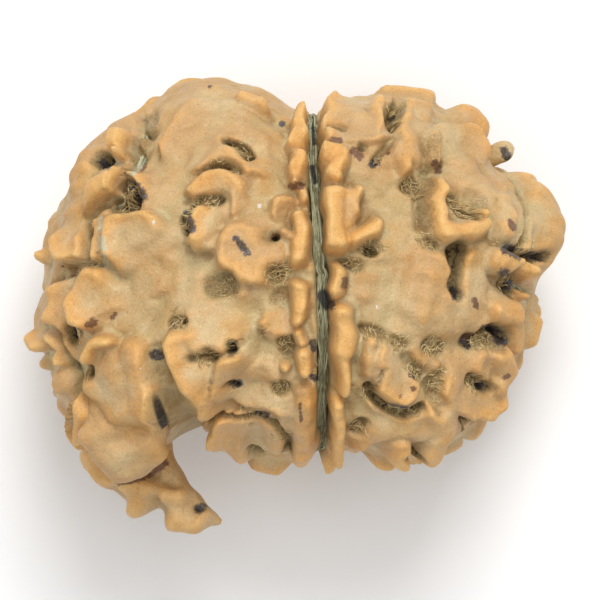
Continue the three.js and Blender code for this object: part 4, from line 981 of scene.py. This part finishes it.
# %% The stone's colours
GROUND = srgb(202, 163, 112)
GROUND_PALE = srgb(210, 184, 138)
GROUND_OCHRE = srgb(206, 160, 92)
GROUND_BROWN = srgb(184, 134, 76)
CREST = srgb(232, 172, 95)
# Painted highlight on the crest tops.
CREST_HIGHLIGHT = srgb(242, 198, 126)
VALLEY_OLIVE = srgb(190, 174, 126)
HOLLOW_OLIVE = srgb(192, 168, 118)
# Painted shade: the brown below crests and steps.
UNDER_SHADE_BROWN = srgb(146, 108, 62)
DUST_OLIVE = srgb(206, 194, 152)
CREAM = srgb(230, 208, 168)
PIT_STRAW = srgb(206, 184, 134)
# Brown of the pit web's cells, also the painted shade along the furrow floors.
PIT_WEB_AND_FURROW_SHADE_BROWN = srgb(146, 116, 72)
# Painted shade inside deep pits.
PIT_SHADE_DARK = srgb(40, 34, 24)
STAIN_BLUE = srgb(78, 84, 100)
# Black of the blue stains' mottling, also the painted shade of the gap beside the flap.
BLACK_STAIN_AND_GAP_SHADE = srgb(32, 31, 36)
# Red-brown of the real stains, also the painted shadow under the toe.
STAIN_RED_AND_TOE_SHADOW = srgb(112, 78, 60)
STAIN_GREY = srgb(200, 192, 160)
STAIN_WHITE = srgb(232, 228, 220)

# Painted shade: the black gap beside the flap, an oval in the picture.
GAP_MIDDLE, GAP_ALONG, GAP_HALVES = (-6.93, -6.75), (0.3, -0.954), (0.3, 1.15)
stone = Finish("seed_stone_satin")
# Noises from blotches down to grain, and three facts frayed by them.
ragged = stone.noise(0.45, 4.0, 0.65)
blotch = stone.noise(3.2, 2.0)
patch = stone.noise(1.3, 3.0)
grain = stone.noise(0.07, 2.0, 0.7)
fleck = stone.noise(0.2, 2.0, 0.6)
dent = stone.noise(0.8, 4.0, 0.6)
fray = stone.math(stone.math(ragged, 0.5, "SUBTRACT"), 0.55, "MULTIPLY")
drift = stone.math(stone.math(patch, 0.5, "SUBTRACT"), 0.5, "MULTIPLY")
near = stone.math(stone.fact("near_rise"), stone.math(fray, 0.3, "MULTIPLY"))
wide = stone.math(stone.math(stone.fact("wide_rise"), fray), drift)
pit_fact = stone.math(stone.fact("pit"), fray)
# Ground in patches, olive valleys, worn orange crests with paler tops painted as a highlight, and at their
# feet painted brown shade patched with real olive dust.
colour = stone.mix(stone.step(blotch, 0.38, 0.66), GROUND, GROUND_PALE)
colour = stone.mix(stone.step(stone.noise(2.6, 3.0), 0.48, 0.68, 0.0, 0.6), colour, GROUND_OCHRE)
colour = stone.mix(stone.step(patch, 0.55, 0.78, 0.0, 0.35), colour, GROUND_BROWN)
colour = stone.mix(stone.step(wide, 0.0, -0.4, 0.0, 0.55), colour, VALLEY_OLIVE)
colour = stone.mix(stone.step(wide, 0.1, 0.9, 0.0, 0.75), colour, CREST)
# Painted highlight: the highest crest tops paler than their worn orange.
crest_and_highlight = stone.mix(stone.step(near, 0.12, 0.5), CREST, CREST_HIGHLIGHT)
colour = stone.mix(stone.step(near, 0.02, 0.3, 0.0, 0.52), colour, crest_and_highlight)
under_shade_and_dust = stone.mix(stone.step(patch, 0.42, 0.58), UNDER_SHADE_BROWN, DUST_OLIVE)
# Painted shade: brown where a point lies below its surroundings, patched with real pale olive dust; deeper
# down only the brown shade.
colour = stone.mix(stone.step(near, -0.05, -0.26, 0.0, 0.6), colour, under_shade_and_dust)
colour = stone.mix(stone.step(near, -0.26, -0.6, 0.0, 0.6), colour, UNDER_SHADE_BROWN)
# Pits: a straw web whose dark holes are painted shade, more of them the deeper the pit.
net = stone.web(0.16)
netted = stone.mix(stone.step(net, 0.05, 0.24), PIT_STRAW, PIT_WEB_AND_FURROW_SHADE_BROWN)
holed = stone.step(stone.noise(0.32, 3.0, 0.6), 0.49, 0.59)
shaded_holes = stone.math(holed, stone.step(pit_fact, 0.3, 0.7), "MULTIPLY")
netted = stone.mix(shaded_holes, netted, PIT_SHADE_DARK)
colour = stone.mix(stone.step(pit_fact, 0.14, 0.46, 0.0, 0.8), colour, netted)
# Painted shade: the deepest pits go nearly black.
colour = stone.mix(stone.step(pit_fact, 0.95, 1.4, 0.0, 0.9), colour, PIT_SHADE_DARK)
# The deep hollow's olive, the black gap beside the flap painted as shade, and the furrow floors painted brown
# as shade.
hollow_fact = stone.math(stone.fact("hollow"), fray)
colour = stone.mix(stone.step(hollow_fact, 0.4, 0.9, 0.0, 0.6), colour, HOLLOW_OLIVE)
far_from_gap = stone.math(stone.oval(GAP_MIDDLE, GAP_ALONG, *GAP_HALVES), fray)
shade = stone.step(far_from_gap, 1.2, 0.3, 0.0, 0.95)
gap_shade = stone.math(shade, stone.step(hollow_fact, 0.1, 0.3), "MULTIPLY")
colour = stone.mix(gap_shade, colour, BLACK_STAIN_AND_GAP_SHADE)
# Painted shade: the furrow floors darkened to brown.
colour = stone.mix(stone.step(stone.fact("furrow"), 0.4, 0.9, 0.0, 0.9), colour, PIT_WEB_AND_FURROW_SHADE_BROWN)
# Stains with frayed edges; the red one also holds the painted shadow under the toe.
mottled_blue = stone.mix(stone.step(fleck, 0.46, 0.62), BLACK_STAIN_AND_GAP_SHADE, STAIN_BLUE)
for name, stain in zip(STONE_FACTS[5:], (mottled_blue, STAIN_RED_AND_TOE_SHADOW, STAIN_GREY, STAIN_WHITE)):
    frayed = stone.math(stone.fact(name), stone.math(stone.math(fleck, 0.5, "SUBTRACT"), 1.2, "MULTIPLY"))
    shown_stain = stone.step(stone.math(frayed, fray), 0.35, 0.8, 0.0, 0.9)
    colour = stone.mix(shown_stain, colour, stain)
# Sand, speckle and flecks over everything.
sandy = stone.noise(0.3, 4.0, 0.7)
colour = stone.mix(stone.step(sandy, 0.54, 0.7, 0.0, 0.2), colour, CREAM)
colour = stone.mix(stone.step(sandy, 0.46, 0.34, 0.0, 0.16), colour, GROUND_BROWN)
speckle = stone.mix(stone.step(grain, 0.3, 0.7), srgb(216, 209, 199), srgb(255, 255, 255))
colour = stone.mix(0.6, colour, speckle, "MULTIPLY")
flecks = stone.mix(stone.step(fleck, 0.3, 0.36, 1.0, 0.0), srgb(255, 255, 255), srgb(196, 176, 150))
colour = stone.mix(0.35, colour, flecks, "MULTIPLY")
stone.join(colour, stone.shader.inputs["Base Color"])
stone.join(stone.step(patch, 0.3, 0.7, 0.5, 0.66), stone.shader.inputs["Roughness"])
stone.shader.inputs["Specular IOR Level"].default_value = 0.4
# Bumps: the web's threads, dents, sand and grain.
threads = stone.math(stone.step(net, 0.0, 0.1, 1.0, 0.0), stone.step(pit_fact, 0.1, 0.4), "MULTIPLY")
rough = stone.bump(threads, 0.08, 0.9)
rough = stone.bump(dent, 0.22, 0.7, rough)
rough = stone.bump(sandy, 0.05, 0.6, rough)
rough = stone.bump(grain, 0.012, 0.6, rough)
stone.join(rough, stone.shader.inputs["Normal"])
seed.data.materials.clear()
seed.data.materials.append(stone.material)
print("stone's finish:", len(stone.tree.nodes), "nodes")

# %% [markdown]
# ## Cords in the furrows
# Dried strands of the fruit lie in each furrow like a cord of loose hemp. A single tube would look
# like a wire, so each furrow gets a bundle: every strand is a thin tube along the furrow's line that
# weaves from side to side and up and down by its own sine waves.

# %% Strands along the furrows
STRAND_SIDES = 5
STRAND_STEP = 0.2
STRAND_SPREAD = 0.13
STRAND_DEPTH = 0.34
STRAND_WAVELENGTHS = (2.5, 7.0)
STRAND_SWAYS = (0.5, 0.3)
STRAND_ASIDE = 1.4
STRAND_DIPS = (0.09, 0.03)
STRAND_HEIGHTS = (-0.08, 0.08)
STRAND_SPANS = [(0.01, 0.99), (0.01, 0.99), (0.52, 0.99)] + 3 * [(0.01, 0.99)] + [(0.35, 0.99)]
BUNDLES = [(26, 1.0), (12, 0.7), (12, 0.7)] + 4 * [(10, 0.8)]
PALER = [0.0, 0.35] + 5 * [0.0]
STRAND_RADII = (0.025, 0.055)
TIP_RADIUS = 0.004
chance = np.random.default_rng(18)


def tubes(paths, radii, sides):
    """Tubes along many paths at once: paths is (tube, point, 3), radii (tube, point). Each ring
    stands square to the path, and the ends are drawn to a point."""
    ahead = unit(np.gradient(paths, axis=1))
    level = unit(paths.mean(axis=1, keepdims=True)) + [0.01, 0.02, 0.03]
    side = unit(np.cross(ahead, level))
    up = np.cross(side, ahead)
    turn = np.linspace(0, 2 * np.pi, sides, endpoint=False)
    ring = side[:, :, None] * np.cos(turn)[:, None] + up[:, :, None] * np.sin(turn)[:, None]
    points = paths[:, :, None] + ring * radii[:, :, None, None]
    count, rows = paths.shape[:2]
    one = tube_faces(rows - 1, sides)[:, ::-1]
    faces = (one[None] + (np.arange(count) * rows * sides)[:, None, None]).reshape(-1, 4)
    return points.reshape(-1, 3), faces


def strand_paths(line, count, spread, span):
    """count strands along a furrow's line of directions, as points on its floor moved aside and up."""
    seats = unit(along(line, np.linspace(0, 1, 60)))
    length = np.linalg.norm(np.diff(body_point(seats), axis=0), axis=1).sum()
    rows = int(length / STRAND_STEP)
    seats = unit(along(line, np.linspace(*span, rows)))
    push = outward(seats)
    aside = unit(np.cross(unit(np.gradient(body_point(seats), axis=0)), push))
    travel = np.linspace(0, length, rows)
    phase = chance.uniform(0, 2 * np.pi, (count, 4, 1))
    pitch = 2 * np.pi / chance.uniform(*STRAND_WAVELENGTHS, (count, 4, 1))
    weave = np.sin(travel * pitch + phase)
    over = STRAND_SWAYS[0] * weave[:, 0] + STRAND_SWAYS[1] * weave[:, 1]
    over = over + chance.uniform(-STRAND_ASIDE, STRAND_ASIDE, (count, 1))
    over *= spread * STRAND_SPREAD
    lift = STRAND_DIPS[0] * weave[:, 2] + STRAND_DIPS[1] * weave[:, 3]
    lift = lift + chance.uniform(*STRAND_HEIGHTS, (count, 1)) - STRAND_DEPTH
    return body_point(seats) + aside * over[..., None] + push * lift[..., None]


strand_points, strand_faces, strand_tone = [], [], []
total = 0
for line, (count, spread), span, paler in zip(furrows, BUNDLES, STRAND_SPANS, PALER):
    paths = strand_paths(line, count, spread, span)
    thickness = chance.uniform(*STRAND_RADII, (count, 1)) * np.ones(paths.shape[1])
    thickness[:, [0, -1]] = TIP_RADIUS
    points, faces = tubes(paths, thickness, STRAND_SIDES)
    strand_points.append(points)
    strand_faces.append(faces + total)
    tone = np.clip(chance.uniform(0, 0.8, count) + paler, 0, 1)
    strand_tone.append(np.repeat(tone, paths.shape[1] * STRAND_SIDES))
    total += len(points)
strand_points = np.concatenate(strand_points)
strand_faces = np.concatenate(strand_faces)
strands = add_mesh("furrow_strands", strand_points, strand_faces.tolist(),
                   {"tone": np.concatenate(strand_tone), "blue": stained(strand_points, BLUE_STAINS)})
print("furrow strands:", len(strand_faces), "squares")

# %% The strands' finish
STRAND_DARK = srgb(116, 112, 82)
STRAND_GREEN = srgb(166, 166, 132)
STRAND_PALE = srgb(202, 202, 172)
hemp = Finish("furrow_strand_hemp")
mottle = hemp.noise(0.5, 3.0, 0.6)
tone = hemp.math(hemp.fact("tone"), hemp.math(hemp.math(mottle, 0.5, "SUBTRACT"), 1.1, "MULTIPLY"))
hemp_colour = hemp.mix(hemp.step(tone, 0.0, 0.5), STRAND_DARK, STRAND_GREEN)
hemp_colour = hemp.mix(hemp.step(tone, 0.5, 1.0), hemp_colour, STRAND_PALE)
hemp_colour = hemp.mix(hemp.step(hemp.fact("blue"), 0.3, 0.8, 0.0, 0.9), hemp_colour, BLACK_STAIN_AND_GAP_SHADE)
hemp.join(hemp_colour, hemp.shader.inputs["Base Color"])
hemp.shader.inputs["Roughness"].default_value = 0.8
hemp.join(hemp.bump(hemp.noise(0.06, 2.0), 0.02), hemp.shader.inputs["Normal"])
strands.data.materials.append(hemp.material)
print("strands' finish:", len(hemp.tree.nodes), "nodes")

# %% [markdown]
# ## Fibres in the pits
# Tufts of straw-coloured fibre from the dried fruit are caught in the pits. Hair particles would be
# quick, but they aren't a mesh. So each fibre is a short, bent, four-sided tube, laid over the skin
# from a random place in its nest, and all of them are worked out in one go.

# %% Nests of fibres
FIBRE_POINTS = 5
FIBRE_RADIUS = 0.02
FIBRE_RADII = (0.012, 0.028)
FIBRE_TIP = 0.003
FIBRE_SIDES = 4
FIBRE_BEND = 2.4
FIBRE_LENGTHS = (0.4, 1.3)
LONGEST_REACH = 0.5
FIBRE_ARCH = 0.09
FIBRE_LIFTS = (-0.04, 0.05)
FEWEST_FIBRES = 5
NEST_LIMIT = -0.35
FIBRE_DENSITY = 150
NESTS = [
    (-3.0, 6.3, 0.6), (-4.0, 5.5, 0.4), (-3.1, 5.2, 0.25), (-4.6, 3.6, 0.55), (-5.4, 2.9, 0.4),
    (-1.15, 0.3, 0.5), (-3.5, -0.4, 0.4), (-5.9, -2.0, 0.5), (-4.6, -3.75, 0.45), (-0.7, -3.1, 0.45),
    (-0.95, -5.1, 0.45), (-4.2, -6.75, 0.4), (-2.5, -6.25, 0.5), (-0.9, -7.2, 0.5), (-2.0, -8.3, 0.45),
    (-3.35, -3.1, 0.35), (-8.2, 4.4, 0.45), (-8.5, 3.7, 0.45), (-8.4, 5.2, 0.35), (-9.8, 5.7, 0.4),
    (-9.9, 1.0, 0.5), (-9.85, 1.8, 0.35), (-9.95, 2.7, 0.3),
    (-10.9, -2.7, 0.55), (-10.3, -4.5, 0.4), (-8.6, 3.0, 0.3),
    (4.6, 8.2, 0.5), (4.3, 7.4, 0.45), (5.6, 4.55, 0.5), (8.1, 3.35, 0.6), (7.6, 3.8, 0.35),
    (6.3, 1.85, 0.45), (3.6, 1.55, 0.45), (2.6, 0.75, 0.35), (2.3, 4.5, 0.2), (9.5, 1.8, 0.25),
    (11.2, 1.3, 0.8), (10.2, -0.2, 0.5), (3.6, -2.75, 0.45), (4.7, -3.1, 0.45), (6.65, -3.2, 0.55),
    (9.0, -2.9, 0.7), (3.1, -5.5, 0.45), (4.5, -6.25, 0.5), (5.5, -6.3, 0.4), (5.6, -4.4, 0.5),
    (6.8, -4.85, 0.6), (8.4, -4.9, 0.6), (2.75, -7.0, 0.4), (8.2, -7.1, 0.4), (3.7, 5.9, 0.3),
    (0.5, 6.6, 0.25), (0.6, 3.3, 0.2), (0.9, -8.0, 0.3), (0.75, -4.2, 0.25),
]
nest_seats = [(seat((x, y), PIT_LEVEL), radius) for x, y, radius in NESTS]
hidden_nests = [(turned(direction[None], degrees, flip)[0], radius)
                for _, degrees, flip in HIDDEN_FACES for direction, radius in nest_seats]
nests = nest_seats + [(d, r) for d, r in hidden_nests if d[2] < NEST_LIMIT and abs(d[1]) < HIDDEN_POLE]
centre = np.array([direction for direction, _ in nests])
radius = np.array([size for _, size in nests])
fibres_each = np.maximum((radius**2 * FIBRE_DENSITY * np.pi / 2).astype(int), FEWEST_FIBRES)
owner = np.repeat(np.arange(len(nests)), fibres_each)
count = len(owner)
print("nests:", len(nests), "fibres:", count)


# %% Each fibre bends over the skin
def fibre_paths(middle, reach):
    """A fibre lies at a random place of its nest and runs on a bending line: its heading turns
    steadily, and it arches off the skin."""
    count = len(middle)
    side = unit(np.cross([0.0, 1.0, 0.02], middle))
    up = np.cross(middle, side)
    place = reach * np.sqrt(chance.uniform(0, 1, count))
    round_it = chance.uniform(0, 2 * np.pi, count)
    heading = chance.uniform(0, 2 * np.pi, count)[:, None]
    bend = chance.normal(0, FIBRE_BEND, count)[:, None]
    length = chance.uniform(*FIBRE_LENGTHS, count)[:, None] * np.minimum(reach, LONGEST_REACH)[:, None]
    travel = np.linspace(-0.5, 0.5, FIBRE_POINTS)[None] * length
    angle = heading + bend * travel
    over_side = place[:, None] * np.cos(round_it)[:, None] + travel * np.cos(angle)
    over_up = place[:, None] * np.sin(round_it)[:, None] + travel * np.sin(angle)
    scale = np.linalg.norm(body_point(middle), axis=1)[:, None, None]
    aside = side[:, None] * over_side[..., None] + up[:, None] * over_up[..., None]
    directions = unit(middle[:, None] + aside / scale)
    arch = np.sin(np.linspace(0, np.pi, FIBRE_POINTS))[None]
    arch = arch * chance.uniform(0.0, FIBRE_ARCH, count)[:, None]
    lift = chance.uniform(*FIBRE_LIFTS, count)[:, None] + arch
    flat = directions.reshape(-1, 3)
    places = surface_point(flat, lift.ravel())
    places[:, 2] = np.maximum(places[:, 2], FIBRE_RADIUS - REST_DEPTH)
    return places.reshape(count, FIBRE_POINTS, 3)


paths = fibre_paths(centre[owner], radius[owner])
thickness = chance.uniform(*FIBRE_RADII, (count, 1)) * np.ones(FIBRE_POINTS)
thickness[:, [0, -1]] = FIBRE_TIP
fibre_points, fibre_faces = tubes(paths, thickness, FIBRE_SIDES)
fibre_tone = np.repeat(chance.uniform(0, 1, count), FIBRE_POINTS * FIBRE_SIDES)
fibres = add_mesh("pit_fibres", fibre_points, fibre_faces.tolist(), {"tone": fibre_tone})
print("fibre squares:", len(fibre_faces))

# %% The fibres' finish
FIBRE_BROWN = srgb(164, 134, 84)
FIBRE_STRAW = srgb(208, 184, 128)
FIBRE_PALE = srgb(230, 212, 164)
straw = Finish("pit_fibre_straw")
straw_colour = straw.mix(straw.step(straw.fact("tone"), 0.15, 0.5), FIBRE_BROWN, FIBRE_STRAW)
straw_colour = straw.mix(straw.step(straw.fact("tone"), 0.6, 0.95), straw_colour, FIBRE_PALE)
straw_colour = straw.mix(straw.step(straw.noise(0.25), 0.4, 0.7, 0.0, 0.5), straw_colour, FIBRE_BROWN)
straw.join(straw_colour, straw.shader.inputs["Base Color"])
straw.shader.inputs["Roughness"].default_value = 0.7
fibres.data.materials.append(straw.material)
print("fibres' finish:", len(straw.tree.nodes), "nodes")

# %% [markdown]
# ## Onto the frame
# Every piece rides on the imported model's one body. The finished stone stands for the plain node.

# %% Ride and replace
for piece in (seed, strands, fibres):
    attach(piece, "root")
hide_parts("rudraksha_seed")
print("pieces:", [piece.name for piece in (seed, strands, fibres)])

# %% [markdown]
# ## Floor, light and camera
# The seed is photographed from straight above on a plain pale ground, under soft light that comes
# mostly from the top of the picture. A long lens from far away keeps the outline free of perspective.

# %% Floor
FLOOR_HALF = 1.2
floor_mesh = bpy.data.meshes.new("floor")
corners = [(-FLOOR_HALF, -FLOOR_HALF, 0), (FLOOR_HALF, -FLOOR_HALF, 0), (FLOOR_HALF, FLOOR_HALF, 0),
           (-FLOOR_HALF, FLOOR_HALF, 0)]
floor_mesh.from_pydata(corners, [], [(0, 1, 2, 3)])
floor = bpy.data.objects.new("floor", floor_mesh)
bpy.context.scene.collection.objects.link(floor)
paper = Finish("pale_floor")
paper.shader.inputs["Base Color"].default_value = srgb(250, 250, 250)
paper.shader.inputs["Roughness"].default_value = 0.9
floor_mesh.materials.append(paper.material)
print("floor half-width in metres:", FLOOR_HALF)

# %% Light
WORLD_LIGHT = 0.27
AIM = np.array([0.0, 0.0, 0.01])
LIGHTS = {
    "softbox_over_all": ((0.0, 0.0, 1.3), 1.0, 5.3),
    "key_from_top": ((0.05, 0.28, 0.42), 0.26, 1.75),
    "fill_left": ((-0.42, -0.14, 0.40), 0.40, 0.55),
    "fill_right": ((0.34, -0.32, 0.40), 0.40, 0.35),
}
for name, (place, size, power) in LIGHTS.items():
    light = bpy.data.lights.new(name, "AREA")
    light.shape = "DISK"
    light.size = size
    light.energy = power
    lamp = bpy.data.objects.new(name, light)
    lamp.location = place
    aim = AIM - place
    lamp.rotation_euler = (np.arctan2(np.hypot(aim[0], aim[1]), -aim[2]), 0, np.arctan2(-aim[0], aim[1]))
    bpy.context.scene.collection.objects.link(lamp)
world = bpy.data.worlds.new("studio")
bpy.context.scene.world = world
world.use_nodes = True
world.node_tree.nodes["Background"].inputs["Color"].default_value = (1.0, 1.0, 1.0, 1.0)
world.node_tree.nodes["Background"].inputs["Strength"].default_value = WORLD_LIGHT
bpy.context.scene.view_settings.view_transform = "Standard"
print("lights:", len(LIGHTS))

# %% Camera
PICTURE_WIDTH = 30.0
PICTURE_MIDDLE = (0.0, -1.0)
CAMERA_HEIGHT = 1.0
SENSOR_WIDTH = 36.0
AIM_HEIGHT = 0.014
camera = bpy.data.cameras.new("camera")
camera.sensor_width = SENSOR_WIDTH
camera.lens = SENSOR_WIDTH * (CAMERA_HEIGHT - AIM_HEIGHT) / (PICTURE_WIDTH * MILLIMETRE)
camera.clip_start = 0.01
camera.clip_end = 20.0
eye = bpy.data.objects.new("camera", camera)
middle = to_frame(np.array([[*PICTURE_MIDDLE, 0.0]]))[0]
eye.location = (middle[0], middle[1], CAMERA_HEIGHT)
bpy.context.scene.collection.objects.link(eye)
bpy.context.scene.camera = eye
print("lens in millimetres:", round(camera.lens, 1))
